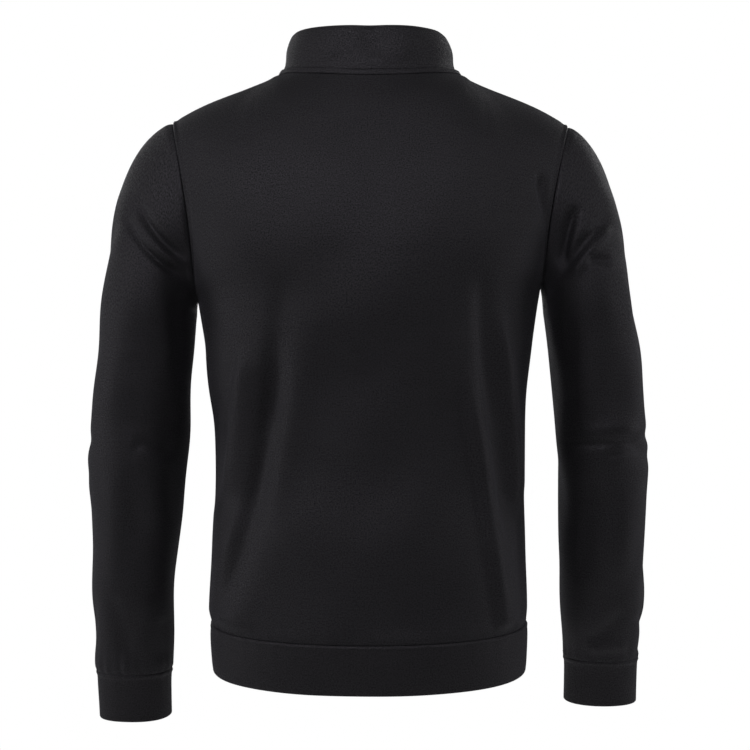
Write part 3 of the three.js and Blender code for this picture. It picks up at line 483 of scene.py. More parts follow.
# ---------------------------------------------------------------- seam lines
# A seam gives its place and the way through the cloth to the inside; the armhole also gives the way
# across the seam, out along the sleeve.
def armhole(side, turn):
    cut = ARMHOLE[side]
    turn = np.asarray(turn, float)
    high = (1 + np.cos(turn)) / 2
    reach_there = np.where(np.sin(turn) >= 0, ARMHOLE_REACH[BACK], ARMHOLE_REACH[FRONT])
    x = cut["under_x"] + (cut["shoulder_x"] - cut["under_x"]) * high**ARMHOLE_CURVE
    x = x - ARMHOLE_HOLLOW * np.sin(turn) ** 2
    place = point(side * x, reach_there * np.sin(turn), mix(cut["under_z"], cut["shoulder_z"], high))
    tilt = -ARMHOLE_TILT * side * (1 - (1 - high) ** 2)
    inward = unit(point(tilt, -np.sin(turn), -np.cos(turn)))
    across = unit(np.cross(inward, point(0, np.cos(turn), -np.sin(turn))))
    across = across * np.where(across[..., :1] * side < 0, -1, 1)
    return place, inward, across


def neck(side, face, turn):
    turn = np.asarray(turn, float)
    level = np.clip(np.cos(turn), 0, 1)
    drop = NECK_DROP[face] * level ** NECK_CURVE[face]
    place = point(side * NECK_HALF_WIDTH * np.sin(turn), face * NECK_REACH[face] * level, drop)
    return place, point(-NECK_IN * side * np.sin(turn), -NECK_IN * face * level, -NECK_DOWN)


def shoulder(side, share):
    end = armhole(side, 0)[0]
    place = mix(point(side * NECK_HALF_WIDTH, 0, 0), end, np.asarray(share)[..., None])
    place[..., 2] += SHOULDER_RISE * np.sin(np.pi * share**SHOULDER_CURVE)
    return place


# ---------------------------------------------------------------- body surface
def half_width(side, z):
    return read(BODY, "left" if side == LEFT else "right", z)


def reach(face, z):
    return read(BODY, "back" if face == BACK else "front", z)


def level_at(line, u):
    return mix(line["middle"], line["side"], u * u)


def fullness(u):
    return 1 + FULLNESS * np.sin(np.pi * u) ** 2


def lower_body(side, face, u, z):
    """Below the armholes: u runs from the middle to the side seam."""
    turn = u * np.pi / 2
    x = side * half_width(side, z) * np.sin(turn) * fullness(u)
    return point(x, face * reach(face, z) * np.cos(turn) * fullness(u), z)


def top_edge(side, face, u):
    """The neckline, then the shoulder seam."""
    neckline = neck(side, face, np.pi * np.minimum(u, 0.5))[0]
    seam = shoulder(side, np.clip(2 * u - 1, 0, 1))
    return np.where(np.asarray(u)[..., None] <= 0.5, neckline, seam)


def upper_body(side, face, u, rise):
    """Beside the armhole: rise is 0 at the underarm and 1 at the neckline and shoulder seam."""
    edge = armhole(side, face * np.pi * (1 - rise))[0]
    middle_z = mix(CHEST_Z, NECK_DROP[face], rise)
    middle = point(0, face * reach(face, middle_z), middle_z)
    most = np.pi / 2 - SHOULDER_BLADE_TURN * smooth(rise)
    turn = u * most
    round_there = (np.cos(turn) - np.cos(most)) / (1 - np.cos(most))
    section = point(
        edge[..., 0] * np.sin(turn) / np.sin(most) * fullness(u),
        mix(edge[..., 1], middle[..., 1], round_there) * fullness(u),
        mix(middle[..., 2], edge[..., 2], u * u),
    )
    share = (np.sin(np.pi / 2 * u) ** 2)[..., None]
    top = top_edge(side, face, u)
    top = top + (middle - top_edge(side, face, np.zeros(1))) * (1 - share)
    top = top + (edge - top_edge(side, face, np.ones(1))) * share
    return mix(section, top, rise[..., None] ** 4)


# The shoulder's levelling: where it starts, how wide it is, and how it meets the top edge.
LEVEL_FROM, LEVEL_WIDTH, LEVEL_RUN, CORNER_ROUND = 0.55, 0.2, 150, 0.3
LEVEL_WAY = (0.5, 0.85, -0.19)
SLOPE_STEP = 0.01


def over_shoulder(side, face, u, rise):
    """The same, but laid level over the corner where the neckline meets the shoulder seam."""
    plain = upper_body(side, face, u, rise)
    start = upper_body(side, face, u, np.float64(LEVEL_FROM))
    before = upper_body(side, face, u, np.float64(LEVEL_FROM - SLOPE_STEP))
    way = (start - before) * (1 - LEVEL_FROM) / SLOPE_STEP
    t = np.clip((rise - LEVEL_FROM) / (1 - LEVEL_FROM), 0, 1)
    spread = CORNER_ROUND * (1 - t)
    end = sum(top_edge(side, face, np.clip(u + spread * k, 0, 1)) for k in (-1, -0.5, 0, 0.5, 1)) / 5
    last = point(side, face, 1) * LEVEL_WAY * -LEVEL_RUN
    laid = curve(t[..., None], start, way, end, last)
    near = hump(u, 0.5, LEVEL_WIDTH) * (rise > LEVEL_FROM)
    return mix(plain, laid, near[..., None])


# The rows of a panel: 0 at the hem seam, UNDERARM level with the underarm, TOP at the neck.
UNDERARM, SLIT_ROW, TOP = 12, 11, 24


def body_point(side, face, u, row):
    under = {"middle": CHEST_Z, "side": ARMHOLE[side]["under_z"]}
    z = mix(level_at(HEM_SEAM, u), level_at(under, u), np.minimum(row / UNDERARM, 1))
    rise = np.clip((row - UNDERARM) / (TOP - UNDERARM), 0, 1)
    low = lower_body(side, face, u, z)
    return np.where(row[..., None] > UNDERARM, over_shoulder(side, face, u, rise), low)


# ---------------------------------------------------------------- grids of points
def beside(grid, axis, around=False):
    """The neighbours of each point of a grid on both sides."""
    before, after = np.roll(grid, 1, axis), np.roll(grid, -1, axis)
    if not around:
        first, last = [slice(None)] * grid.ndim, [slice(None)] * grid.ndim
        first[axis], last[axis] = 0, -1
        before[tuple(first)] = grid[tuple(first)]
        after[tuple(last)] = grid[tuple(last)]
    return before, after


def grid_normals(grid, outside, around=False):
    """The way out of the cloth at each point. outside is a rough way out, one for all points."""
    below, above = beside(grid, 0)
    left, right = beside(grid, 1, around)
    normals = unit(np.cross(right - left, above - below))
    return normals if np.sum(normals * outside) >= 0 else -normals


def level_in(normals):
    """The level way into the cloth."""
    return unit(-normals * (1, 1, 0))


def even_out(grid, share, rounds, around=False):
    """Smooths a grid across its own surface, as far as share says at each point."""
    weight = 0.5 * share[..., None]
    outside = grid - grid.mean((0, 1))
    for _ in range(rounds):
        average = (sum(beside(grid, 0)) + sum(beside(grid, 1, around))) / 4
        normals = grid_normals(grid, outside, around)
        off = np.sum((average - grid) * normals, -1, keepdims=True)
        grid = grid + off * normals * weight
    return grid


def run_length(grid, axis):
    """How far each point of a grid lies along its line from the line's start."""
    steps = np.linalg.norm(np.diff(grid, axis=axis), axis=-1)
    length = np.cumsum(steps, axis=axis)
    pad = [(0, 0), (0, 0)]
    pad[axis] = (1, 0)
    return np.pad(length, pad)


def from_ends(grid, axis):
    """The distances of each point from both ends of its line."""
    start = run_length(grid, axis)
    whole = start.max(axis=axis, keepdims=True)
    return start, whole - start


def round_edge(distance, radius):
    """How far a rounded edge falls away from the face of the cloth."""
    near = np.clip(radius - distance, 0, radius)
    return radius - np.sqrt(np.maximum(radius**2 - near**2, 0))


def line_at(grid, distance, wanted, axis=1):
    """Where each line of a grid is a wanted distance from its edge."""
    points = grid if axis == 1 else np.swapaxes(grid, 0, 1)
    lengths = distance if axis == 1 else distance.T
    found = []
    for line, far in zip(points, lengths):
        order = np.argsort(far)
        found.append([np.interp(wanted, far[order], line[order, k]) for k in range(3)])
    return np.array(found)


# ---------------------------------------------------------------- meshes
def wall_faces(shape, around, keep):
    """Quads of a closed wall between an outer and an inner grid, with a rim on every open edge.
    Gives the corners' points and their rows and columns in the grid."""
    lines, columns = shape
    cells = columns if around else columns - 1
    kept = np.ones((lines - 1, cells), bool) if keep is None else keep
    layer = lines * columns

    def quads(mask, *corners):
        rr, cc = np.nonzero(mask)
        index, places = [], []
        for inner, down, over in corners:
            row, column = rr + down, cc + over
            index.append(inner * layer + row * columns + column % columns)
            places.append(np.stack([column, row], -1))
        return np.stack(index, -1), np.stack(places, 1)

    def missing(axis, step):
        there = np.roll(kept, step, axis)
        if axis == 0 or not around:
            edge = [slice(None)] * 2
            edge[axis] = 0 if step == 1 else -1
            there[tuple(edge)] = False
        return kept & ~there

    parts = [
        quads(kept, (0, 0, 0), (0, 0, 1), (0, 1, 1), (0, 1, 0)),
        quads(kept, (1, 0, 0), (1, 1, 0), (1, 1, 1), (1, 0, 1)),
        quads(missing(0, 1), (0, 0, 0), (1, 0, 0), (1, 0, 1), (0, 0, 1)),
        quads(missing(0, -1), (0, 1, 0), (0, 1, 1), (1, 1, 1), (1, 1, 0)),
        quads(missing(1, 1), (0, 0, 0), (0, 1, 0), (1, 1, 0), (1, 0, 0)),
        quads(missing(1, -1), (0, 0, 1), (1, 0, 1), (1, 1, 1), (0, 1, 1)),
    ]
    return np.concatenate([p[0] for p in parts]), np.concatenate([p[1] for p in parts])


def new_mesh(name, points, faces, corner_uv=None):
    """A mesh from points in millimetres, with its faces pointing out."""
    points = np.asarray(points) * MM
    faces = np.asarray(faces)
    a, b, c, d = (points[faces[:, k]] for k in range(4))
    if np.sum(a * (np.cross(b, c) + np.cross(c, d))) < 0:
        faces = faces[:, ::-1]
        corner_uv = None if corner_uv is None else corner_uv[:, ::-1]
    used, index = np.unique(faces, return_inverse=True)
    mesh = bpy.data.meshes.new(name)
    mesh.from_pydata(points[used].tolist(), [], index.reshape(faces.shape).tolist())
    if corner_uv is not None:
        layer = mesh.uv_layers.new(name="cloth")
        layer.data.foreach_set("uv", np.ascontiguousarray(corner_uv).reshape(-1))
    mesh.shade_smooth()
    mesh.update()
    return mesh


def in_scene(name, data):
    """A new object at the origin."""
    made = bpy.data.objects.new(name, data)
    bpy.context.scene.collection.objects.link(made)
    return made


def plain_mesh(made):
    """Turns an object's modifiers into its mesh."""
    depsgraph = bpy.context.evaluated_depsgraph_get()
    mesh = bpy.data.meshes.new_from_object(made.evaluated_get(depsgraph), depsgraph=depsgraph)
    made.modifiers.clear()
    made.data = mesh
    return mesh


def new_piece(name, mesh, paint):
    mesh.materials.clear()
    mesh.materials.append(paint)
    return in_scene(name, mesh)


def wall_piece(name, outer, inner, paint, around=False, keep=None):
    """A piece of cloth with its thickness. Its UV map is the flat cloth, in metres."""
    faces, places = wall_faces(outer.shape[:2], around, keep)
    across, up = run_length(outer, 1), run_length(outer, 0)
    u = np.median(across, axis=0)
    if around:
        u = np.append(u, u[-1] + np.median(np.linalg.norm(outer[:, 0] - outer[:, -1], axis=-1)))
    v = np.median(up, axis=1)
    corner_uv = np.stack([u[places[..., 0]], v[places[..., 1]]], -1) * MM
    points = np.concatenate([outer.reshape(-1, 3), inner.reshape(-1, 3)])
    return new_piece(name, new_mesh(name, points, faces, corner_uv), paint)


def cloth_piece(piece, nodes, flat, area, held, rests_on, slot=KNIT_SLOT):
    """Hangs a piece of cloth on the garment and hides the parts that it stands for."""
    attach(piece, GARMENT)
    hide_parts(*nodes)


# ---------------------------------------------------------------- front and back panels
# About how far it is from a side to the middle, from the slit to the side, and from row to row.
SIDE_TO_MIDDLE, MIDDLE_TO_SIDE = 215, 270
LOWER_ROW, UPPER_ROW = 29.6, 17
ROUND_SLIT_END = np.array([2.6, 1.35, 0.6, 0.2])
SLIT_CELLS, SLIT_TURN = 8, 9
FAR = 1000.0
# The surface is evened out level with the underarm: over how many rows, how often, how far in.
UNDERARM_SPREAD, UNDERARM_ROUNDS, UNDERARM_IN = 1.3, 60, 12


def panel_shares(face):
    """Places across half a panel, from 1 at the side to 0 at the middle."""
    edge = 1 - EDGE_STEPS / SIDE_TO_MIDDLE
    outer = np.linspace(edge[-1], 0.5, LINES["panel side"])[1:]
    if face == BACK:
        return np.concatenate([edge, outer, np.linspace(0.5, 0, LINES["back middle"])[1:]])
    slit = np.append(EDGE_STEPS[::-1], 0) / MIDDLE_TO_SIDE
    inner = np.linspace(0.5, slit[0], LINES["front middle"])[1:]
    return np.concatenate([edge, outer, inner, slit[1:]])


def panel_levels():
    """Rows of a panel from the hem seam to the neck."""
    low = EDGE_STEPS / LOWER_ROW
    high = TOP - EDGE_STEPS[::-1] / UPPER_ROW
    below_slit = SLIT_ROW - ROUND_SLIT_END / LOWER_ROW
    lower = np.linspace(low[-1], below_slit[0], LINES["below slit"])
    strip = np.linspace(SLIT_ROW, UNDERARM, LINES["beside slit"])
    upper = np.linspace(UNDERARM, high[0], LINES["upper panel"])
    return np.concatenate([low[:-1], lower, below_slit[1:], strip, upper[1:], high[1:]])


def panel_grid(face):
    """The smooth surface of a panel, from the wearer's left side to the right."""
    u, row = np.meshgrid(panel_shares(face), panel_levels())
    left = body_point(LEFT, face, u, row)
    right = body_point(RIGHT, face, u, row)
    if face == FRONT:
        aside = SLIT_HALF * (1 - smooth(u * SLIT_TURN))
        left[..., 0] += aside
        right[..., 0] -= aside
    right = right[:, ::-1]
    if face == BACK:
        return np.concatenate([left, right[:, 1:]], 1), row
    strip = [mix(left[:, -1:], right[:, :1], k / SLIT_CELLS) for k in range(1, SLIT_CELLS)]
    return np.concatenate([left, *strip, right], 1), row


@functools.cache
def panel_walls(face, thick, depth):
    """Outer and inner points of a panel, the distances from its edges, and its rows."""
    grid, row = panel_grid(face)
    level = row[:, 0]
    to_left, to_right = from_ends(grid, 1)
    held = smooth(to_left / UNDERARM_IN) * smooth(to_right / UNDERARM_IN)
    grid = even_out(grid, hump(level, UNDERARM, UNDERARM_SPREAD)[:, None] * held, UNDERARM_ROUNDS)
    normals = grid_normals(grid, grid * (0.3, 1, 0) + (0, face * 20, 0))

    to_left, to_right = (d + EDGE_STEPS[0] for d in from_ends(grid, 1))
    to_hem, to_top = (d + EDGE_STEPS[0] for d in from_ends(grid, 0))
    to_side = np.minimum(to_left, to_right)
    to_armhole = to_side + np.where(level < UNDERARM, FAR, 0)[:, None]
    x, z = grid[..., 0], grid[..., 2]
    to_slit = np.full(to_left.shape, FAR)
    if face == FRONT:
        to_slit = np.hypot(np.maximum(np.abs(x) - SLIT_HALF, 0), np.maximum(ZIP_BOTTOM_Z - z, 0))

    free = fade_in(to_side, "side") * fade_in(to_top, "top")
    free = free * fade_in(to_hem, "hem") * fade_in(to_slit, "slit")
    waves = soft_waves(x, z, SEED["panel"] + face, *WAVES["panel"])
    lift = fold_lift(BODY_FOLDS[face], x, z) * depth + waves
    shape = lift * free + gathered(puckers(x, SEED["panel hem"] + face), to_hem, "panel hem")
    shape = shape + relief(to_armhole, "panel armhole") + relief(to_hem, "panel hem")
    base = grid + normals * (shape + relief(to_slit, "panel zip"))[..., None]

    inward = -normals
    shares = panel_shares(face)
    halves = []
    for side, to_edge in ((LEFT, to_left), (RIGHT, to_right)):
        turn = face * np.pi * (1 - np.clip((level - UNDERARM) / (TOP - UNDERARM), 0, 1))
        seam = armhole(side, turn)[1]
        seam[level < UNDERARM] = (-side, 0, 0)
        inward = mix(inward, seam[:, None], hump(to_edge, 0, SEAM_TURN)[..., None])
        line = neck(side, face, np.pi * np.minimum(shares, 0.5))[1]
        line[shares > 0.5] = armhole(side, 0)[1]
        halves.append(line)
    if face == BACK:
        top = np.concatenate([halves[0], halves[1][::-1][1:]])
    else:
        top = np.concatenate([halves[0], *[halves[0][-1:]] * (SLIT_CELLS - 1), halves[1][::-1]])
    inward = mix(inward, top, hump(to_top, 0, SEAM_TURN)[..., None])
    inward = unit(mix(inward, level_in(normals), hump(to_hem, 0, SEAM_TURN)[..., None]))

    nearest = np.minimum.reduce([to_side, to_hem, to_slit]) - EDGE_STEPS[0]
    at_top = round_edge(to_top - EDGE_STEPS[0], thick * EDGE_ROUND["shoulder"])
    fall = np.maximum(round_edge(nearest, thick * EDGE_ROUND["sewn"]), at_top)[..., None]
    edges = {"side": to_side, "hem": to_hem, "slit": to_slit}
    return base + inward * fall, base + inward * (thick - fall), edges, level


def slit_cells(outer, level):
    """The cells that are cloth: the slit for the zip has none."""
    kept = np.ones((outer.shape[0] - 1, outer.shape[1] - 1), bool)
    middle = outer.shape[1] // 2
    first = int(np.argmin(np.abs(level - SLIT_ROW)))
    half = SLIT_CELLS // 2
    kept[first:, middle - half : middle + half] = False
    return kept


# ---------------------------------------------------------------- sleeves
SLEEVE_COLUMNS = 168
FIRST_RING_Z, RING_STEP = -266, 20
CAP_STEPS = np.array([0.0, 0.0012, 0.0026, 0.0045, 0.007, 0.0105, 0.015, 0.021, 0.029])
# The sleeve is evened out round its first level ring: over how many lines and how often.
RING_SPREAD, RING_ROUNDS = 16, 70
DEPTH_WAVES = 1.3


def sleeve_ring(side, z, turn):
    table = SLEEVE[side]
    outer, inner = read(table, "outer", z), read(table, "inner", z)
    full = 1 + SLEEVE_FULLNESS * np.sin(2 * turn) ** 2
    x = (outer + inner) / 2 + (outer - inner) / 2 * np.cos(turn) * full
    return point(side * x, read(table, "y", z) + read(table, "deep", z) * np.sin(turn) * full, z)


def cap_point(side, turn, share):
    """The cap, from the armhole seam to the first level ring."""
    place, _, across = armhole(side, turn)
    end = sleeve_ring(side, np.float64(FIRST_RING_Z), turn)
    upper, weight = np.cos(turn) > 0, np.abs(np.cos(turn))
    pull = mix(CAP_PULL["flank"], np.where(upper, CAP_PULL[side], CAP_PULL["under"]), weight)
    drop = mix(CAP_DROP["flank"], np.where(upper, CAP_DROP[side], CAP_DROP["under"]), weight)
    flank = np.sin(turn) ** 2
    away = across * point(1, 1 - flank, 1)
    away[..., 2] -= CAP_SINK * flank
    down = unit(sleeve_ring(side, np.float64(FIRST_RING_Z - RING_STEP), turn) - end)
    start = place + across * EDGE_STEPS[0]
    return curve(share[..., None], start, unit(away) * pull[..., None], end, down * drop[..., None])


@functools.cache
def sleeve_walls(side, thick, depth):
    turns = np.arange(SLEEVE_COLUMNS) * 2 * np.pi / SLEEVE_COLUMNS
    shares = np.concatenate([CAP_STEPS, np.linspace(CAP_STEPS[-1], 1, LINES["cap"])[1:]])
    last = SLEEVE[side]["z"][-2] + EDGE_STEPS[0] + EDGE_STEPS[::-1]
    heights = np.concatenate([np.linspace(FIRST_RING_Z, last[0], LINES["sleeve"])[1:], last[1:]])
    turn, share = np.meshgrid(turns, shares)
    turn_low, z_low = np.meshgrid(turns, heights)
    grid = np.concatenate([cap_point(side, turn, share), sleeve_ring(side, z_low, turn_low)])
    turn = np.concatenate([turn, turn_low])
    lines = np.arange(len(grid))[:, None]
    near_ring = hump(lines, len(shares), RING_SPREAD) * np.ones(turn.shape)
    grid = even_out(grid, near_ring, RING_ROUNDS, around=True)

    outside = point(side * np.cos(turn), np.sin(turn), 0)
    normals = grid_normals(grid, outside * (lines[..., None] > len(shares)), around=True)
    to_armhole, to_cuff = (d + EDGE_STEPS[0] for d in from_ends(grid, 0))
    x, y, z = grid[..., 0], grid[..., 1], grid[..., 2]
    behind = np.maximum(np.sin(turn), 0) ** FACE_SPREAD
    before = np.maximum(-np.sin(turn), 0) ** FACE_SPREAD
    beside_arm = np.maximum(np.cos(turn), 0) ** SIDE_SPREAD
    lift = fold_lift(SLEEVE_FOLDS[BACK], x, z) * behind + fold_lift(SLEEVE_FOLDS[FRONT], x, z) * before
    lift = (lift + fold_lift(SLEEVE_SIDE_FOLDS[side], y, z) * beside_arm) * depth
    lift = lift + soft_waves(x + DEPTH_WAVES * y, z, SEED["sleeve"] + side, *WAVES["sleeve"])
    shape = lift * fade_in(to_armhole, "armhole") * fade_in(to_cuff, "cuff")
    shape = shape + gathered(ring_puckers(turn, SEED["sleeve cuff"] + side), to_cuff, "sleeve cuff")
    shape = shape + relief(to_armhole, "sleeve armhole") + relief(to_cuff, "sleeve cuff")
    base = grid + normals * shape[..., None]

    seam = armhole(side, turns)[1][None]
    inward = mix(-normals, seam, hump(to_armhole, 0, SEAM_TURN)[..., None])
    inward = unit(mix(inward, level_in(normals), hump(to_cuff, 0, SEAM_TURN)[..., None]))
    nearest = np.minimum(to_armhole, to_cuff) - EDGE_STEPS[0]
    fall = round_edge(nearest, thick * EDGE_ROUND["sewn"])[..., None]
    return base + inward * fall, base + inward * (thick - fall), to_cuff


# ---------------------------------------------------------------- bands of doubled cloth
HEM_HEIGHT, CUFF_HEIGHT = 52, 53


def band_levels(length, seam_steps=EDGE_STEPS):
    """Shares down a band: close lines at its seam and round its fold."""
    seam, fold = seam_steps / length, 1 - FOLD_STEPS / length
    return np.concatenate([seam, np.linspace(seam[-1], fold[0], LINES["band"])[1:], fold[1:]])


def doubled_walls(grid, shape, thick):
    """A ring's outer and inner points: sewn along its first line and folded along its last."""
    normals = grid_normals(grid, grid - grid.mean((0, 1)), around=True)
    to_seam, to_fold = from_ends(grid, 0)
    base = grid + normals * shape[..., None]
    at_ends = np.maximum(hump(to_seam, 0, SEAM_TURN), hump(to_fold, 0, FOLD_TURN))
    inward = unit(mix(-normals, level_in(normals), at_ends[..., None]))
    at_seam = round_edge(to_seam, thick * EDGE_ROUND["band seam"])
    fall = np.maximum(at_seam, round_edge(to_fold, thick * EDGE_ROUND["fold"]))[..., None]
    return base + inward * fall, base + inward * (thick - fall)


def hem_walls(thick):
    step = np.arange(LINES["hem quarter"]) / LINES["hem quarter"]
    down = band_levels(HEM_HEIGHT)[:, None]
    parts = []
    for side, face, u in (
        (LEFT, BACK, step),
        (LEFT, FRONT, 1 - step),
        (RIGHT, FRONT, step),
        (RIGHT, BACK, 1 - step),
    ):
        z = mix(level_at(HEM_SEAM, u) - 2 * EDGE_STEPS[0], level_at(HEM_EDGE, u), down)
        place = lower_body(side, face, u[None], z)
        scale = point(1 / half_width(side, z), 1 / reach(face, z), 0)
        parts.append(place + unit(place * scale) * read(HEM_OUT, "out", down)[..., None])
    grid = np.concatenate(parts, 1)
    to_seam, _ = from_ends(grid, 0)
    along = run_length(grid, 1)
    turn = along / along.max(axis=1, keepdims=True) * 2 * np.pi
    shape = gathered(ring_puckers(turn, SEED["hem band"], *HEM_GATHERS), to_seam, "hem band")
    ripples = ring_puckers(turn, SEED["hem fold"], *HEM_RIPPLES)
    shape = shape + HEM_RIPPLE_HEIGHT * ripples * fade_in(to_seam, "band seam")
    return doubled_walls(grid, shape + relief(to_seam, "hem band"), thick)


def cuff_walls(side, thick):
    heights = SLEEVE[side]["z"]
    start, end = heights[-2] - EDGE_STEPS[0], heights[-1]
    turns = np.arange(SLEEVE_COLUMNS) * 2 * np.pi / SLEEVE_COLUMNS
    turn, down = np.meshgrid(turns, band_levels(CUFF_HEIGHT))
    radial = point(side * np.cos(turn), np.sin(turn), 0)
    grid = sleeve_ring(side, mix(start, end, down), turn) + radial * read(CUFF_OUT, "out", down)[..., None]
    to_seam, _ = from_ends(grid, 0)
    shape = gathered(ring_puckers(turn, SEED["cuff"] + side, *CUFF_GATHERS), to_seam, "cuff")
    ripples = ring_puckers(turn, SEED["cuff fold"] + side, *CUFF_RIPPLES)
    shape = shape + CUFF_RIPPLE_HEIGHT * ripples * fade_in(to_seam, "band seam")
    return doubled_walls(grid, shape + relief(to_seam, "cuff"), thick)


# ---------------------------------------------------------------- collar
COLLAR_HEIGHT = 56
WELT_STEPS = np.array(
    [0.1, 0.25, 0.5, 0.9, 1.5, 2.4, 3.4, 4.3, 5.0, 5.5, 5.9, 6.2, 6.5, 6.8, 7.1, 7.5, 8.3, 9.7]
)
WELT_RISE, WELT_SLOPE, WELT_MIDDLE, WELT_HALF = 1.1, 0.12, 3.1, 3.25
# How the welt wanders off its line: by how much, over what length, and where each wave starts.
WELT_WANDER = ((0.35, 21, 0), (0.25, 8.5, 1))
# How far from the zip the welt is full, how far the waves reach past the rim, and a gather's length.
WELT_FADE, RIM_WAVES, COLLAR_GATHER = 3, 4, 9


def welt(across):
    """The flat ridge over the seam, with steep sides."""
    inside = np.clip(1 - np.abs((across - WELT_MIDDLE) / WELT_HALF) ** 6, 0, 1)
    return (WELT_RISE + WELT_SLOPE * across) * inside**0.5


@functools.cache
def collar_walls(thick):
    even = np.linspace(0, np.pi / 2, LINES["collar back"])
    slit = np.append(0, EDGE_STEPS) / NECK_HALF_WIDTH
    front = np.concatenate([slit, np.linspace(slit[-1], np.pi / 2, LINES["collar front"])[1:]])
    up = band_levels(COLLAR_HEIGHT, WELT_STEPS)[:, None]
    lean = read(COLLAR_LEAN, "lean", up)
    parts, seams = [], []
    for side, face, turn in (
        (LEFT, FRONT, front),
        (LEFT, BACK, even[::-1][1:]),
        (RIGHT, BACK, even[1:]),
        (RIGHT, FRONT, front[::-1][1:]),
    ):
        place, inward = neck(side, face, turn)
        level = np.clip(np.cos(turn), 0, 1)
        rim_z = mix(RIM_SIDE_Z, RIM_Z[face], level ** NECK_CURVE[face])
        rim = point(side * RIM_HALF_WIDTH[side] * np.sin(turn), face * RIM_REACH[face] * level, rim_z)
        x = mix(place[:, 0], rim[:, 0], lean)
        if face == FRONT:
            x = x + side * SLIT_HALF * (1 - smooth(turn / (np.pi / SLIT_TURN)))
        parts.append(point(x, mix(place[:, 1], rim[:, 1], lean), mix(place[:, 2], rim[:, 2], up)))
        seams.append(inward)
    grid, seam = np.concatenate(parts, 1), np.concatenate(seams)[None]
    normals = grid_normals(grid, grid * (1, 1, 0))
    to_seam, to_fold = from_ends(grid, 0)
    to_left, to_right = from_ends(grid, 1)
    to_slit = np.minimum(to_left, to_right)
    x, y, z = grid[..., 0], grid[..., 1], grid[..., 2]
    lift = np.where(y > 0, fold_lift(COLLAR_FOLDS[BACK], x, z), fold_lift(COLLAR_FOLDS[FRONT], x, z))
    lift = lift + soft_waves(x + y, z, SEED["collar"], *WAVES["collar"])
    free = fade_in(to_seam, "collar seam") * fade_in(to_slit, "collar front")
    shape = lift * free * fade_in(to_fold + RIM_WAVES, "collar fold")
    wavy = sum((height * np.sin(to_left / wave + start) for height, wave, start in WELT_WANDER), to_seam)
    shape = shape + (welt(wavy) + relief(wavy, "collar")) * smooth(to_slit / WELT_FADE)
    shape = shape + gathered(puckers(to_left, SEED["collar seam"], COLLAR_GATHER), to_seam, "collar")
    base = grid + normals * shape[..., None]
    inward = mix(-normals, level_in(normals), hump(to_fold, 0, FOLD_TURN)[..., None])
    inward = unit(mix(inward, seam, hump(to_seam, 0, COLLAR_SEAM_TURN)[..., None]))
    edges = ((to_seam, "collar seam"), (to_fold, "fold"), (to_slit, "zip"))
    fall = np.maximum.reduce([round_edge(far, thick * EDGE_ROUND[kind]) for far, kind in edges])[..., None]
    return base + inward * fall, base + inward * (thick - fall), to_seam, to_slit


# ---------------------------------------------------------------- nodes
def feed(tree, socket, value):
    """Sets a node's socket, or links another node's value to it."""
    value = value.socket if isinstance(value, Value) else value
    if isinstance(value, bpy.types.NodeSocket):
        tree.links.new(value, socket)
    else:
        socket.default_value = value


def add_node(tree, kind, settings, values):
    made = tree.nodes.new(kind)
    for name, setting in settings.items():
        setattr(made, name, setting)
    for socket, value in values.items():
        feed(tree, made.inputs[socket], value)
    return made


class Value:
    """A number that changes over a surface, for use in Python expressions."""

    def __init__(self, tree, socket):
        self.tree, self.socket = tree, socket

    def maths(self, operation, first, second):
        node = add_node(self.tree, "ShaderNodeMath", {"operation": operation}, {0: first, 1: second})
        return Value(self.tree, node.outputs[0])

    def __add__(self, other):
        return self.maths("ADD", self, other)

    def __sub__(self, other):
        return self.maths("SUBTRACT", self, other)

    def __rsub__(self, other):
        return self.maths("SUBTRACT", other, self)

    def __mul__(self, other):
        return self.maths("MULTIPLY", self, other)

    __radd__, __rmul__ = __add__, __mul__

    def wave(self):
        return self.maths("SINE", self, 0)


class Paint:
    """A material's nodes."""

    def __init__(self, name):
        self.material = bpy.data.materials.new(name)
        self.material.use_nodes = True
        self.tree = self.material.node_tree
        self.surface = self.tree.nodes["Principled BSDF"]

    def node(self, kind, settings, values):
        return add_node(self.tree, kind, settings, values)

    def set(self, **values):
        for name, value in values.items():
            feed(self.tree, self.surface.inputs[name.replace("_", " ")], value)

    def place(self, kind="Object"):
        """Each point's place in the object, or with UV on the flat cloth."""
        return self.node("ShaderNodeTexCoord", {}, {}).outputs[kind]

    def flat_cloth(self):
        """Each point's place on the flat cloth, and its two parts in metres."""
        flat = self.place("UV")
        parts = self.node("ShaderNodeSeparateXYZ", {}, {"Vector": flat}).outputs
        return flat, Value(self.tree, parts["X"]), Value(self.tree, parts["Y"])

    def stretch(self, vector, scale):
        return self.node("ShaderNodeMapping", {}, {"Vector": vector, "Scale": scale}).outputs[0]

    def noise(self, vector, scale, detail=2.0, rough=0.5):
        inputs = {"Vector": vector, "Scale": scale, "Detail": detail, "Roughness": rough}
        return Value(self.tree, self.node("ShaderNodeTexNoise", {}, inputs).outputs["Fac"])

    def blend(self, share, colour, low, high):
        """A colour between a darker and a lighter shade of one colour."""
        inputs = {0: share, 6: shade(colour, low), 7: shade(colour, high)}
        return self.node("ShaderNodeMix", {"data_type": "RGBA"}, inputs).outputs[2]

    def bump(self, height, depth, strength, under=None):
        inputs = {"Height": height, "Distance": depth, "Strength": strength}
        if under is not None:
            inputs["Normal"] = under
        return self.node("ShaderNodeBump", {}, inputs).outputs["Normal"]


def shade(colour, share):
    return (*(c * share for c in colour), 1.0)


# ---------------------------------------------------------------- materials
# Width of one diagonal and one crossways line of the tape's weave, in metres.
TWILL, PICK = 0.0009, 0.0007
# The knit's marks in each metre: how its rows wander, flecks, streaks, clouds and patches.
WANDER, FLECKS, STREAKS, CLOUDS, PATCHES = 140.0, 640.0, 420.0, 17.0, 26.0
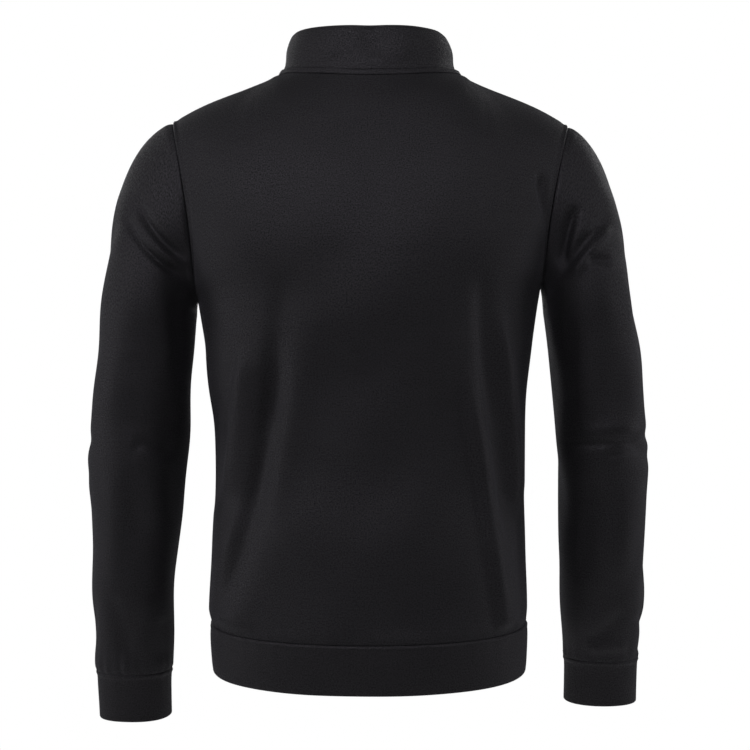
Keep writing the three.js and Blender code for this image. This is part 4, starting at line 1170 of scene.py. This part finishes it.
# Depths of the surface marks, in metres.
LOOP_DEPTH, FUZZ_DEPTH, WEAVE_DEPTH, THREAD_DEPTH, SCRATCH_DEPTH = 0.0001, 0.00028, 0.00018, 0.0001, 0.00006


def knit(name, colour, wale, course):
    """A smooth double knit: fine upright wales, flecks of lighter fibre and a soft, uneven sheen."""
    paint = Paint(name)
    flat, across, up = paint.flat_cloth()
    solid = paint.place()
    drift = paint.noise(flat, WANDER) * 0.9
    ribs = (across * (math.tau / wale) + drift * 3.0).wave()
    loops = (up * (math.tau / course) + (across * (math.tau / wale)).wave() * 0.8).wave()
    stitch = ribs * 0.5 + loops * 0.3
    fleck = paint.noise(flat, FLECKS, rough=0.7)
    cloud = paint.noise(solid, CLOUDS, detail=3.0, rough=0.55)
    streak = paint.noise(paint.stretch(flat, (0.07, 1.0, 1.0)), STREAKS)
    patchy = paint.noise(solid, PATCHES, rough=0.6)
    speck = (fleck - 0.5) * (0.75 + patchy * 1.1)
    tone = speck * 2.0 + streak * 0.4 + cloud * 0.5 + stitch * 0.16 - 0.1
    loops_bump = paint.bump(stitch, LOOP_DEPTH, 0.8)
    fuzz = paint.bump(speck + streak * 0.12, FUZZ_DEPTH, 0.8, loops_bump)
    paint.set(Base_Color=paint.blend(tone, colour, 0.3, 2.4), Normal=fuzz)
    paint.set(Roughness=0.58 - speck * 0.95 + cloud * 0.05, Specular_IOR_Level=0.5)
    paint.set(Sheen_Weight=0.10, Sheen_Roughness=0.4, Sheen_Tint=(0.80, 0.80, 0.86, 1.0))
    paint.set(Specular_Tint=(0.98, 0.96, 1.0, 1.0))
    return paint.material


def woven_tape(colour):
    """A narrow zip tape: a close diagonal weave."""
    paint = Paint("tape_weave")
    flat, across, up = paint.flat_cloth()
    twill = ((across + up * 0.7) * (math.tau / TWILL)).wave()
    weave = twill * 0.6 + (up * (math.tau / PICK)).wave() * 0.4
    fleck = paint.noise(flat, 1500.0)
    paint.set(Base_Color=paint.blend(fleck * 0.8 + weave * 0.12 - 0.15, colour, 0.6, 1.6))
    paint.set(Roughness=0.62 + fleck * 0.15, Normal=paint.bump(weave, WEAVE_DEPTH, 0.8))
    paint.set(Specular_IOR_Level=0.4, Sheen_Weight=0.15, Sheen_Roughness=0.5)
    return paint.material


def coated_metal(colour):
    """Black coated metal, a little cloudy, with fine rubbed marks and worn edges."""
    paint = Paint("coated_metal")
    solid = paint.place()
    cloud = paint.noise(solid, 260.0, 3.0)
    marks = paint.noise(paint.stretch(solid, (9.0, 9.0, 1.0)), 420.0)
    edges = paint.node("ShaderNodeNewGeometry", {}, {}).outputs["Pointiness"]
    worn = paint.node("ShaderNodeMapRange", {}, {"Value": edges, 1: 0.52, 2: 0.62}).outputs[0]
    tone = cloud * 0.5 + marks * 0.25 + Value(paint.tree, worn) * 0.5 - 0.1
    paint.set(Base_Color=paint.blend(tone, colour, 0.8, 2.6), Metallic=1.0)
    paint.set(Roughness=0.24 + cloud * 0.16 + marks * 0.08)
    paint.set(Normal=paint.bump(marks + cloud, SCRATCH_DEPTH, 0.4))
    return paint.material


def sewing_thread(colour):
    paint = Paint("sewing_thread")
    twist = paint.noise(paint.place(), 2600.0, 1.0)
    paint.set(Base_Color=paint.blend(twist, colour, 0.8, 1.8), Roughness=0.42 + twist * 0.2)
    paint.set(Normal=paint.bump(twist, THREAD_DEPTH, 0.6), Specular_IOR_Level=0.5, Sheen_Weight=0.1)
    return paint.material


def pale_floor(colour):
    paint = Paint("studio_floor")
    cloud = paint.noise(paint.place(), 0.8)
    paint.set(Base_Color=paint.blend(cloud, colour, 0.97, 1.0), Roughness=0.9, Specular_IOR_Level=0.1)
    return paint.material


def material(name, make, *facts):
    """A material that is made once and then used again."""
    return bpy.data.materials.get(name) or make(*facts)


# ---------------------------------------------------------------- zip
def zip_line(z):
    """The line down the middle of the front, over the chest and up the collar."""
    share = (z - NECK_DROP[FRONT]) / (RIM_Z[FRONT] - NECK_DROP[FRONT])
    collar_y = mix(NECK_REACH[FRONT], RIM_REACH[FRONT], read(COLLAR_LEAN, "lean", np.clip(share, 0, 1)))
    return point(0, -np.where(z <= NECK_DROP[FRONT], reach(FRONT, z), collar_y), z)


def zip_frame(z):
    """Places on that line, the way in, and the thickness of the cloth there."""
    step = 4
    up = unit(zip_line(np.minimum(z + step, RIM_Z[FRONT])) - zip_line(z - step))
    inward = point(0, up[..., 2], -up[..., 1])
    there = np.clip((z - NECK_DROP[FRONT] + THICKER_BELOW_NECK) / THICKER_OVER, 0, 1)
    return zip_line(z), inward, mix(CLOTH_AT_ZIP, DOUBLED_AT_ZIP, there)


def chain_line(z):
    """The middle of the zip's chain."""
    place, inward, cloth = zip_frame(z)
    return place + inward * (cloth + TAPE_BEHIND)[..., None], inward


def tape_walls(side):
    top = RIM_Z[FRONT] - SLIDER_BELOW_RIM - 1
    z = np.linspace(ZIP_BOTTOM_Z - TAPE_BELOW, top, LINES["tape"])
    x = np.array(TAPE_COLUMNS)
    middle, inward = chain_line(z)
    cord = CORD_HEIGHT * hump(x, CORD_MIDDLE, CORD_WIDTH)
    sink = TAPE_SINK * np.clip((x - CHAIN_HALF) / (TAPE_HALF - CHAIN_HALF), 0, 1)
    ribs = RIB_HEIGHT * np.cos((x - RIB_CREST) * math.tau / RIB_STEP) * (x > RIBS_FROM) * (x < RIBS_TO)
    fall = round_edge(np.minimum(TAPE_HALF - x, x - TAPE_EDGE), TAPE_ROUND)

    def face(deep):
        places = middle[:, None] + inward[:, None] * deep[None, :, None]
        places[..., 0] = side * x
        return places

    return face(sink - cord - ribs + fall), face(sink + TAPE_THICK + cord - fall)


def repeat_tree(name, inputs, make_shape, pivot="AUTO"):
    """Geometry nodes that set a shape at even steps along a path, turned to follow it."""
    tree = bpy.data.node_groups.new(name, "GeometryNodeTree")
    named = {"Path": "Geometry", **inputs, "Pitch": "Float", "Material": "Material"}
    for label, kind in named.items():
        tree.interface.new_socket(name=label, in_out="INPUT", socket_type=f"NodeSocket{kind}")
    tree.interface.new_socket(name="Geometry", in_out="OUTPUT", socket_type="NodeSocketGeometry")

    def node(kind, values, **settings):
        return add_node(tree, kind, settings, values)

    given = node("NodeGroupInput", {}).outputs
    shape, scale = make_shape(node, given)
    path = node("GeometryNodeMeshToCurve", {"Mesh": given["Path"]}).outputs[0]
    even = node("GeometryNodeResampleCurve", {"Curve": path, "Length": given["Pitch"]}, mode="LENGTH")
    tangent = node("GeometryNodeInputTangent", {}).outputs[0]
    turn = node("FunctionNodeAlignRotationToVector", {"Vector": tangent}, axis="Z", pivot_axis=pivot)
    values = {"Points": even.outputs[0], "Instance": shape, "Rotation": turn.outputs[0], "Scale": scale}
    placed = node("GeometryNodeInstanceOnPoints", values).outputs[0]
    real = node("GeometryNodeRealizeInstances", {"Geometry": placed}).outputs[0]
    painted = node("GeometryNodeSetMaterial", {"Geometry": real, "Material": given["Material"]})
    node("NodeGroupOutput", {"Geometry": painted.outputs[0]})
    return tree


def stitch_shape(node, given):
    """A short spindle of thread."""
    ball = node("GeometryNodeMeshUVSphere", {"Segments": 6, "Rings": 5, "Radius": 0.5})
    soft = node("GeometryNodeSetShadeSmooth", {"Geometry": ball.outputs[0]})
    thick, length = given["Thread thickness"], given["Stitch length"]
    scale = node("ShaderNodeCombineXYZ", {"X": thick, "Y": thick, "Z": length})
    return soft.outputs[0], scale.outputs[0]


def tooth_shape(node, given):
    return node("GeometryNodeObjectInfo", {"Object": given["Tooth"]}).outputs["Geometry"], (1, 1, 1)


def path_object(name, lines):
    """Open lines of points in millimetres as one mesh of edges."""
    points, edges = [], []
    for line in lines:
        start = len(points)
        points.extend((np.asarray(line) * MM).tolist())
        edges.extend((i, i + 1) for i in range(start, len(points) - 1))
    mesh = bpy.data.meshes.new(name)
    mesh.from_pydata(points, edges, [])
    return in_scene(name, mesh)


def repeated(name, tree, lines, values, paint):
    """Runs a tree of geometry nodes along some lines and keeps the result as a plain mesh."""
    made = path_object(name, lines)
    modifier = made.modifiers.new("repeat", "NODES")
    modifier.node_group = tree
    sockets = {item.name: item.identifier for item in tree.interface.items_tree if item.in_out == "INPUT"}
    for label, value in {**values, "Material": paint}.items():
        modifier[sockets[label]] = value
    plain_mesh(made).name = name
    return made


def tooth_mesh(side):
    """One tooth: a shank that grips the tape, a waist and a round head past the middle."""
    ring = [*TOOTH_OUTLINE, *((x, -z) for x, z in TOOTH_OUTLINE[::-1])]
    half, chamfer = TOOTH_HALF_DEPTH, TOOTH_CHAMFER
    points, count = [], len(ring)
    for y, inset in ((-half, chamfer), (-half + chamfer, 0), (half - chamfer, 0), (half, chamfer)):
        for x, z in ring:
            inset_x = inset * (SHANK_INSET if x > TOOTH_SHANK_X else HEAD_INSET)
            points.append((side * (x - inset_x), y, z * (1 - inset * TOP_INSET)))
    faces = []
    for k in range(3):
        low, high = k * count, (k + 1) * count
        for i in range(count):
            j = (i + 1) % count
            faces.append((low + i, low + j, high + j, high + i))
    for start in (0, 3 * count):
        for i in range(count // 2 - 1):
            faces.append((start + i, start + i + 1, start + count - 2 - i, start + count - 1 - i))
    return new_mesh("tooth", points, faces)


# ---------------------------------------------------------------- metal pieces
MERGE = 1e-6
FLAT_ANGLE, BEVEL_ANGLE, SHARP_ANGLE = math.radians(2), math.radians(35), math.radians(40)


def bevelled_copy(node, name, width, paint):
    """A copy of a hard piece with its edges rounded."""
    piece = new_piece(name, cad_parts[node].data.copy(), paint)
    edit = bmesh.new()
    edit.from_mesh(piece.data)
    bmesh.ops.remove_doubles(edit, verts=edit.verts, dist=MERGE)
    bmesh.ops.dissolve_limit(edit, angle_limit=FLAT_ANGLE, verts=edit.verts, edges=edit.edges)
    edit.to_mesh(piece.data)
    edit.free()
    bevel = piece.modifiers.new("round", "BEVEL")
    bevel.width, bevel.segments = width, 2
    bevel.limit_method, bevel.angle_limit = "ANGLE", BEVEL_ANGLE
    mesh = plain_mesh(piece)
    mesh.name = name
    mesh.shade_smooth()
    mesh.set_sharp_from_angle(angle=SHARP_ANGLE)
    return piece


# ---------------------------------------------------------------- rows of stitches
STITCH_IN = 2.6
ZIP_STITCH_IN = 5.0
WELT_STITCH = 6.7
THREAD_LIFT = 0.05
# How many grid lines beside a seam are looked through for its row of stitches.
NEAR_LINES = 40
# The stitches beside the zip start and stop this share of a panel row inside the slit's ends.
SLIT_MARGIN, TOP_MARGIN = 0.05, 0.1
# The collar's grid lines that the zip's stitches cross, and those that the neck's stitches cross.
COLLAR_ROWS, NECK_ENDS = slice(12, -8), slice(4, -4)
# The row across below the zip.
CROSS_POINTS, CROSS_BOW = 12, 0.35


def lifted(line, outside):
    """A seam's line raised out of the cloth, so that its thread lies on top."""
    return line + unit(outside) * THREAD_LIFT


def armhole_lines(thick, depth):
    lines = []
    for face in (BACK, FRONT):
        outer, _, edges, level = panel_walls(face, thick, depth)
        beside_armhole = level >= UNDERARM
        half = outer.shape[1] // 2
        for columns in (slice(0, half), slice(half, None)):
            far = edges["side"][beside_armhole, columns]
            line = line_at(outer[beside_armhole, columns], far, STITCH_IN)
            lines.append(lifted(line, line * (1, 1, 0.3)))
    return lines


def hem_lines(thick, depth):
    lines = []
    for face in (BACK, FRONT):
        outer, _, edges, _ = panel_walls(face, thick, depth)
        line = line_at(outer[:NEAR_LINES], edges["hem"][:NEAR_LINES], STITCH_IN, axis=0)
        lines.append(lifted(line, line * (1, 1, 0)))
    return lines


def cuff_lines(thick, depth):
    lines = []
    for side in (LEFT, RIGHT):
        outer, _, to_cuff = sleeve_walls(side, thick, depth)
        line = line_at(outer[-NEAR_LINES:], to_cuff[-NEAR_LINES:], STITCH_IN, axis=0)
        out = (line - line.mean(0)) * (1, 1, 0)
        closed = np.append(np.arange(len(line)), 0)
        lines.append(lifted(line, out)[closed])
    return lines


def zip_lines(thick, depth, doubled):
    """Stitches up both sides of the zip, on the front and on the collar, and across below it."""
    outer, _, edges, level = panel_walls(FRONT, thick, depth)
    collar, _, _, to_slit = collar_walls(doubled)
    beside_slit = (level >= SLIT_ROW + SLIT_MARGIN) & (level < TOP - TOP_MARGIN)
    half = outer.shape[1] // 2 - SLIT_CELLS // 2 + 1
    quarter = collar.shape[1] // 4
    out = np.array([0.0, -1.0, 0.3])
    lines, corners = [], []
    for columns, near in ((slice(0, half), slice(0, quarter)), (slice(-half, None), slice(-quarter, None))):
        line = line_at(outer[beside_slit, columns], edges["slit"][beside_slit, columns], ZIP_STITCH_IN)
        lines.append(lifted(line, out))
        up = line_at(collar[COLLAR_ROWS, near], to_slit[COLLAR_ROWS, near], ZIP_STITCH_IN)
        lines.append(lifted(up, out))
        corners.append(line[0])
    under = mix(corners[0], corners[1], np.linspace(0, 1, CROSS_POINTS)[:, None])
    under[:, 1] -= CROSS_BOW * (1 - (under[:, 0] / corners[0][0]) ** 2)
    lines.append(lifted(under - (0, 0, ZIP_STITCH_IN), out))
    return lines


def neck_line(doubled):
    outer, _, to_seam, _ = collar_walls(doubled)
    line = line_at(outer[:NEAR_LINES], to_seam[:NEAR_LINES], WELT_STITCH, axis=0)[NECK_ENDS]
    return lifted(line, line * (1, 1, 0))


# ---------------------------------------------------------------- light and floor
def softbox(name, place, aim, width, height, watts, colour):
    lamp = bpy.data.lights.new(name, "AREA")
    lamp.shape, lamp.size, lamp.size_y = "RECTANGLE", width, height
    lamp.energy, lamp.color = watts, colour
    made = in_scene(name, lamp)
    made.location = place
    made.rotation_euler = (Vector(aim) - Vector(place)).to_track_quat("-Z", "Y").to_euler()


def studio_air(strength):
    """White behind the garment, and soft light that is brighter from above."""
    world = bpy.data.worlds.new("studio")
    bpy.context.scene.world = world
    world.use_nodes = True
    world.node_tree.nodes.clear()

    def node(kind, values, **settings):
        return add_node(world.node_tree, kind, settings, values).outputs

    where = node("ShaderNodeTexCoord", {})["Generated"]
    height = node("ShaderNodeSeparateXYZ", {"Vector": where})["Z"]
    ramp = {"Value": height, 1: AIR_FROM, 2: AIR_TO, 3: AIR_BELOW * strength, 4: strength}
    rise = node("ShaderNodeMapRange", ramp, interpolation_type="SMOOTHSTEP")[0]
    light = node("ShaderNodeBackground", {"Color": (1, 1, 1, 1), "Strength": rise})[0]
    white = node("ShaderNodeBackground", {"Color": (1, 1, 1, 1), "Strength": 1.0})[0]
    seen = node("ShaderNodeLightPath", {})["Is Camera Ray"]
    chosen = node("ShaderNodeMixShader", {0: seen, 1: light, 2: white})[0]
    node("ShaderNodeOutputWorld", {"Surface": chosen})


def round_floor(radius, z, paint):
    rings, spokes = FLOOR_RINGS, FLOOR_SPOKES
    points = [(0, 0, z)]
    for k in range(1, rings + 1):
        for i in range(spokes):
            turn = 2 * math.pi * i / spokes
            points.append((radius * k / rings * math.cos(turn), radius * k / rings * math.sin(turn), z))
    faces = [(0, 1 + i, 1 + (i + 1) % spokes) for i in range(spokes)]
    for k in range(rings - 1):
        a, b = 1 + k * spokes, 1 + (k + 1) * spokes
        faces += [(a + i, b + i, b + (i + 1) % spokes, a + (i + 1) % spokes) for i in range(spokes)]
    mesh = bpy.data.meshes.new("floor")
    mesh.from_pydata(points, [], faces)
    return new_piece("floor", mesh, paint)


# ---------------------------------------------------------------- sizes and colours
def size_setting(name, description, default, low, high):
    return FloatProperty(
        name=name, description=description, default=default, min=low, max=high,
        unit="LENGTH", subtype="DISTANCE",
    )


def colour_setting(name, description, default):
    return FloatVectorProperty(
        name=name, description=description, default=default, size=3, min=0.0, max=1.0, subtype="COLOR"
    )


class SweatshirtSizes(bpy.types.PropertyGroup):
    """Sizes of the cloth, zip and sewing"""

    cloth: size_setting("Cloth", "Thickness of the body and sleeve cloth", 0.0018, 0.001, 0.003)
    doubled: size_setting("Doubled cloth", "Thickness of the collar and bands", 0.003, 0.002, 0.005)
    folds: FloatProperty(
        name="Fold depth", description="How deep the folds are, where 1 is as worn",
        default=1.0, min=0.0, max=2.0, subtype="FACTOR",
    )
    wale: size_setting("Wale", "Width of one upright row of knit loops", 0.0012, 0.0005, 0.003)
    course: size_setting("Course", "Height of one row of knit loops", 0.0010, 0.0005, 0.003)
    tooth_pitch: size_setting("Tooth pitch", "Distance between one tape's teeth", 0.0027, 0.002, 0.004)
    stitch: size_setting("Stitch", "Length of one stitch on the face of the cloth", 0.0026, 0.0015, 0.005)
    stitch_pitch: size_setting("Stitch pitch", "Distance from one stitch to the next", 0.0032, 0.002, 0.006)
    thread: size_setting("Thread", "Thickness of the sewing thread", 0.00045, 0.0002, 0.001)
    metal_edge: size_setting("Metal edge", "Width of the rounding on the zip's metal", 0.00022, 0.0, 0.0005)


class SweatshirtColours(bpy.types.PropertyGroup):
    """Colours of the cloth, zip, sewing and floor"""

    knit: colour_setting("Knit", "Body, sleeves and collar", (0.0090, 0.0090, 0.0093))
    cuffs: colour_setting("Cuffs", "Cuffs and hem band", (0.0080, 0.0078, 0.0080))
    tape: colour_setting("Zip tape", "Woven tape of the zip", (0.0090, 0.0095, 0.0110))
    metal: colour_setting("Zip metal", "Teeth, slider, pull tab and stop", (0.030, 0.031, 0.034))
    thread: colour_setting("Thread", "Sewing thread", (0.0110, 0.0112, 0.0122))
    floor: colour_setting("Floor", "Studio floor", (0.86, 0.86, 0.86))


def sizes():
    return bpy.context.scene.sweatshirt_sizes


def colours():
    return bpy.context.scene.sweatshirt_colours


def cloth_facts():
    """Cloth thickness in millimetres and the depth of the folds."""
    return round(sizes().cloth / MM, 4), round(sizes().folds, 4)


def doubled_cloth():
    return round(sizes().doubled / MM, 4)


def knit_cloth(name, dye):
    return material(name, knit, name, dye, sizes().wale, sizes().course)


def body_cloth():
    return knit_cloth("smooth_knit", colours().knit)


def band_cloth():
    return knit_cloth("band_knit", colours().cuffs)


def zip_tape_weave():
    return material("tape_weave", woven_tape, colours().tape)


def zip_metal():
    return material("coated_metal", coated_metal, colours().metal)


def thread():
    return material("sewing_thread", sewing_thread, colours().thread)


# ---------------------------------------------------------------- operators
# The width and length in metres that each piece of cloth was cut to, and its flat area. Where the
# area is None it is width times length. The collar, hem band and cuff are doubled, and have their
# folded size here.
CUT = {
    "back": ((0.49, 0.65), 0.28),
    "front": ((0.49, 0.642), 0.26),
    "sleeve": ((0.465, 0.63), 0.176),
    "collar": ((0.54, 0.059), None),
    "hem_band": ((0.92, 0.0545), None),
    "cuff": ((0.24, 0.055), None),
    "zip_tape": ((0.012, 0.255), None),
}


class SWEATSHIRT_OT_body_panels(bpy.types.Operator):
    """Make the back and the front, which has the slit for the zip"""

    bl_idname = "sweatshirt.body_panels"
    bl_label = "Body panels"

    def execute(self, context):
        for node, face, other in (("back", BACK, "front"), ("front", FRONT, "back")):
            outer, inner, _, level = panel_walls(face, *cloth_facts())
            keep = slit_cells(outer, level) if face == FRONT else None
            piece = wall_piece(f"{node}_panel", outer, inner, body_cloth(), keep=keep)
            cloth_piece(piece, [node], *CUT[node], "hung", [other])
        return {"FINISHED"}


class SWEATSHIRT_OT_sleeves(bpy.types.Operator):
    """Make both sleeves"""

    bl_idname = "sweatshirt.sleeves"
    bl_label = "Sleeves"

    def execute(self, context):
        for word, side in SIDES:
            outer, inner, _ = sleeve_walls(side, *cloth_facts())
            piece = wall_piece(f"{word}_sleeve", outer, inner, body_cloth(), around=True)
            cloth_piece(piece, [f"sleeve_{word}"], *CUT["sleeve"], "hung", ["back", "front"])
        return {"FINISHED"}


class SWEATSHIRT_OT_collar(bpy.types.Operator):
    """Make the stand collar with the welt at its seam"""

    bl_idname = "sweatshirt.collar"
    bl_label = "Collar"

    def execute(self, context):
        outer, inner, _, _ = collar_walls(doubled_cloth())
        piece = wall_piece("stand_collar", outer, inner, body_cloth())
        cloth_piece(piece, ["collar"], *CUT["collar"], "folded", ["back", "front"])
        return {"FINISHED"}


class SWEATSHIRT_OT_hem_band(bpy.types.Operator):
    """Make the band round the hem"""

    bl_idname = "sweatshirt.hem_band"
    bl_label = "Hem band"

    def execute(self, context):
        piece = wall_piece("hem_band_cloth", *hem_walls(doubled_cloth()), band_cloth(), around=True)
        cloth_piece(piece, ["hem_band"], *CUT["hem_band"], "folded", ["back", "front"])
        return {"FINISHED"}


class SWEATSHIRT_OT_cuffs(bpy.types.Operator):
    """Make both cuffs"""

    bl_idname = "sweatshirt.cuffs"
    bl_label = "Cuffs"

    def execute(self, context):
        for word, side in SIDES:
            walls = cuff_walls(side, doubled_cloth())
            piece = wall_piece(f"{word}_cuff", *walls, band_cloth(), around=True)
            cloth_piece(piece, [f"cuff_{word}"], *CUT["cuff"], "folded", [f"sleeve_{word}"])
        return {"FINISHED"}


class SWEATSHIRT_OT_zip_tapes(bpy.types.Operator):
    """Make the two woven tapes of the zip"""

    bl_idname = "sweatshirt.zip_tapes"
    bl_label = "Zip tapes"

    def execute(self, context):
        for word, side in SIDES:
            piece = wall_piece(f"{word}_zip_tape", *tape_walls(side), zip_tape_weave())
            beside_it = ["front", "collar"]
            cloth_piece(piece, [f"zip_tape_{word}"], *CUT["zip_tape"], "stretched", beside_it, TAPE_SLOT)
        return {"FINISHED"}


class SWEATSHIRT_OT_zip_teeth(bpy.types.Operator):
    """Set the teeth along both zip tapes"""

    bl_idname = "sweatshirt.zip_teeth"
    bl_label = "Zip teeth"

    def execute(self, context):
        pitch = sizes().tooth_pitch
        tree = repeat_tree("zip_teeth", {"Tooth": "Object"}, tooth_shape, "X")
        top = RIM_Z[FRONT] - SLIDER_BELOW_RIM - TEETH_TO
        z = np.arange(ZIP_BOTTOM_Z + TEETH_FROM, top, TEETH_PATH_STEP)
        for (word, side), ahead in zip(SIDES, (0.0, 0.5)):
            tooth = new_piece("tooth", tooth_mesh(side), zip_metal())
            line, _ = chain_line(z + ahead * pitch / MM)
            values = {"Tooth": tooth, "Pitch": pitch}
            piece = repeated(f"{word}_zip_teeth", tree, [line], values, zip_metal())
            bpy.data.objects.remove(tooth)
            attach(piece, GARMENT)
        bpy.data.node_groups.remove(tree)
        return {"FINISHED"}


class SWEATSHIRT_OT_zip_metal(bpy.types.Operator):
    """Make the zip's bottom stop, slider and pull tab"""

    bl_idname = "sweatshirt.zip_metal"
    bl_label = "Slider, pull tab and stop"

    def execute(self, context):
        for node, name, body in (
            ("zip_stop", "zip_bottom_stop", GARMENT),
            ("zip_slider", "zip_slider_body", GARMENT),
            ("zip_pull", "zip_pull_tab", PULL),
        ):
            piece = bevelled_copy(node, name, sizes().metal_edge, zip_metal())
            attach(piece, body)
            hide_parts(node)
        return {"FINISHED"}


class SWEATSHIRT_OT_stitching(bpy.types.Operator):
    """Sew the armholes, hem, cuffs, collar and zip"""

    bl_idname = "sweatshirt.stitching"
    bl_label = "Stitching"

    def execute(self, context):
        cloth, doubled = cloth_facts(), doubled_cloth()
        lines = armhole_lines(*cloth) + hem_lines(*cloth) + cuff_lines(*cloth)
        lines += zip_lines(*cloth, doubled) + [neck_line(doubled)]
        inputs = {"Stitch length": "Float", "Thread thickness": "Float"}
        tree = repeat_tree("stitches", inputs, stitch_shape)
        values = {
            "Stitch length": sizes().stitch,
            "Thread thickness": sizes().thread,
            "Pitch": sizes().stitch_pitch,
        }
        piece = repeated("seam_stitches", tree, lines, values, thread())
        bpy.data.node_groups.remove(tree)
        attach(piece, GARMENT)
        return {"FINISHED"}


class SWEATSHIRT_OT_stage(bpy.types.Operator):
    """Set the camera, soft light and pale floor"""

    bl_idname = "sweatshirt.stage"
    bl_label = "Camera, light and floor"

    def execute(self, context):
        scene = context.scene
        scene.view_settings.view_transform = "Standard"
        camera = bpy.data.cameras.new("camera")
        camera.lens, camera.sensor_width = CAMERA_LENS, CAMERA_SENSOR
        camera.clip_start, camera.clip_end = CAMERA_NEAR, CAMERA_FAR
        holder = in_scene("camera", camera)
        holder.location = CAMERA_PLACE
        holder.rotation_euler = (math.pi / 2, 0, math.pi)
        scene.camera = holder
        studio_air(AIR_STRENGTH)
        for facts in SOFTBOXES:
            softbox(*facts)
        paint = material("studio_floor", pale_floor, colours().floor)
        floor = round_floor(FLOOR_RADIUS, FLOOR_Z, paint)
        return {"FINISHED"}


OPERATORS = (
    SWEATSHIRT_OT_body_panels,
    SWEATSHIRT_OT_sleeves,
    SWEATSHIRT_OT_collar,
    SWEATSHIRT_OT_hem_band,
    SWEATSHIRT_OT_cuffs,
    SWEATSHIRT_OT_zip_tapes,
    SWEATSHIRT_OT_zip_teeth,
    SWEATSHIRT_OT_zip_metal,
    SWEATSHIRT_OT_stitching,
    SWEATSHIRT_OT_stage,
)


class SWEATSHIRT_PT_panel(bpy.types.Panel):
    """Sizes, colours and pieces of the sweatshirt"""

    bl_idname = "SWEATSHIRT_PT_panel"
    bl_label = "Half-zip sweatshirt"
    bl_space_type = "VIEW_3D"
    bl_region_type = "UI"
    bl_category = "Sweatshirt"

    def draw(self, context):
        for group in (sizes(), colours()):
            box = self.layout.box()
            for name in group.__annotations__:
                box.prop(group, name)
        for operator in OPERATORS:
            self.layout.operator(operator.bl_idname)


CLASSES = (SweatshirtSizes, SweatshirtColours, *OPERATORS, SWEATSHIRT_PT_panel)


def register():
    for each in CLASSES:
        bpy.utils.register_class(each)
    bpy.types.Scene.sweatshirt_sizes = PointerProperty(type=SweatshirtSizes)
    bpy.types.Scene.sweatshirt_colours = PointerProperty(type=SweatshirtColours)


def unregister():
    del bpy.types.Scene.sweatshirt_colours
    del bpy.types.Scene.sweatshirt_sizes
    for each in reversed(CLASSES):
        bpy.utils.unregister_class(each)


def clear_start():
    """Takes out the objects of a new file, apart from the frame's own."""
    for name in ("Cube", "Light", "Camera"):
        if name in bpy.data.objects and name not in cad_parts:
            bpy.data.objects.remove(bpy.data.objects[name])


def main():
    register()
    clear_start()
    for operator in OPERATORS:
        group, name = operator.bl_idname.split(".")
        getattr(getattr(bpy.ops, group), name)()


if __name__ == "__main__":
    main()
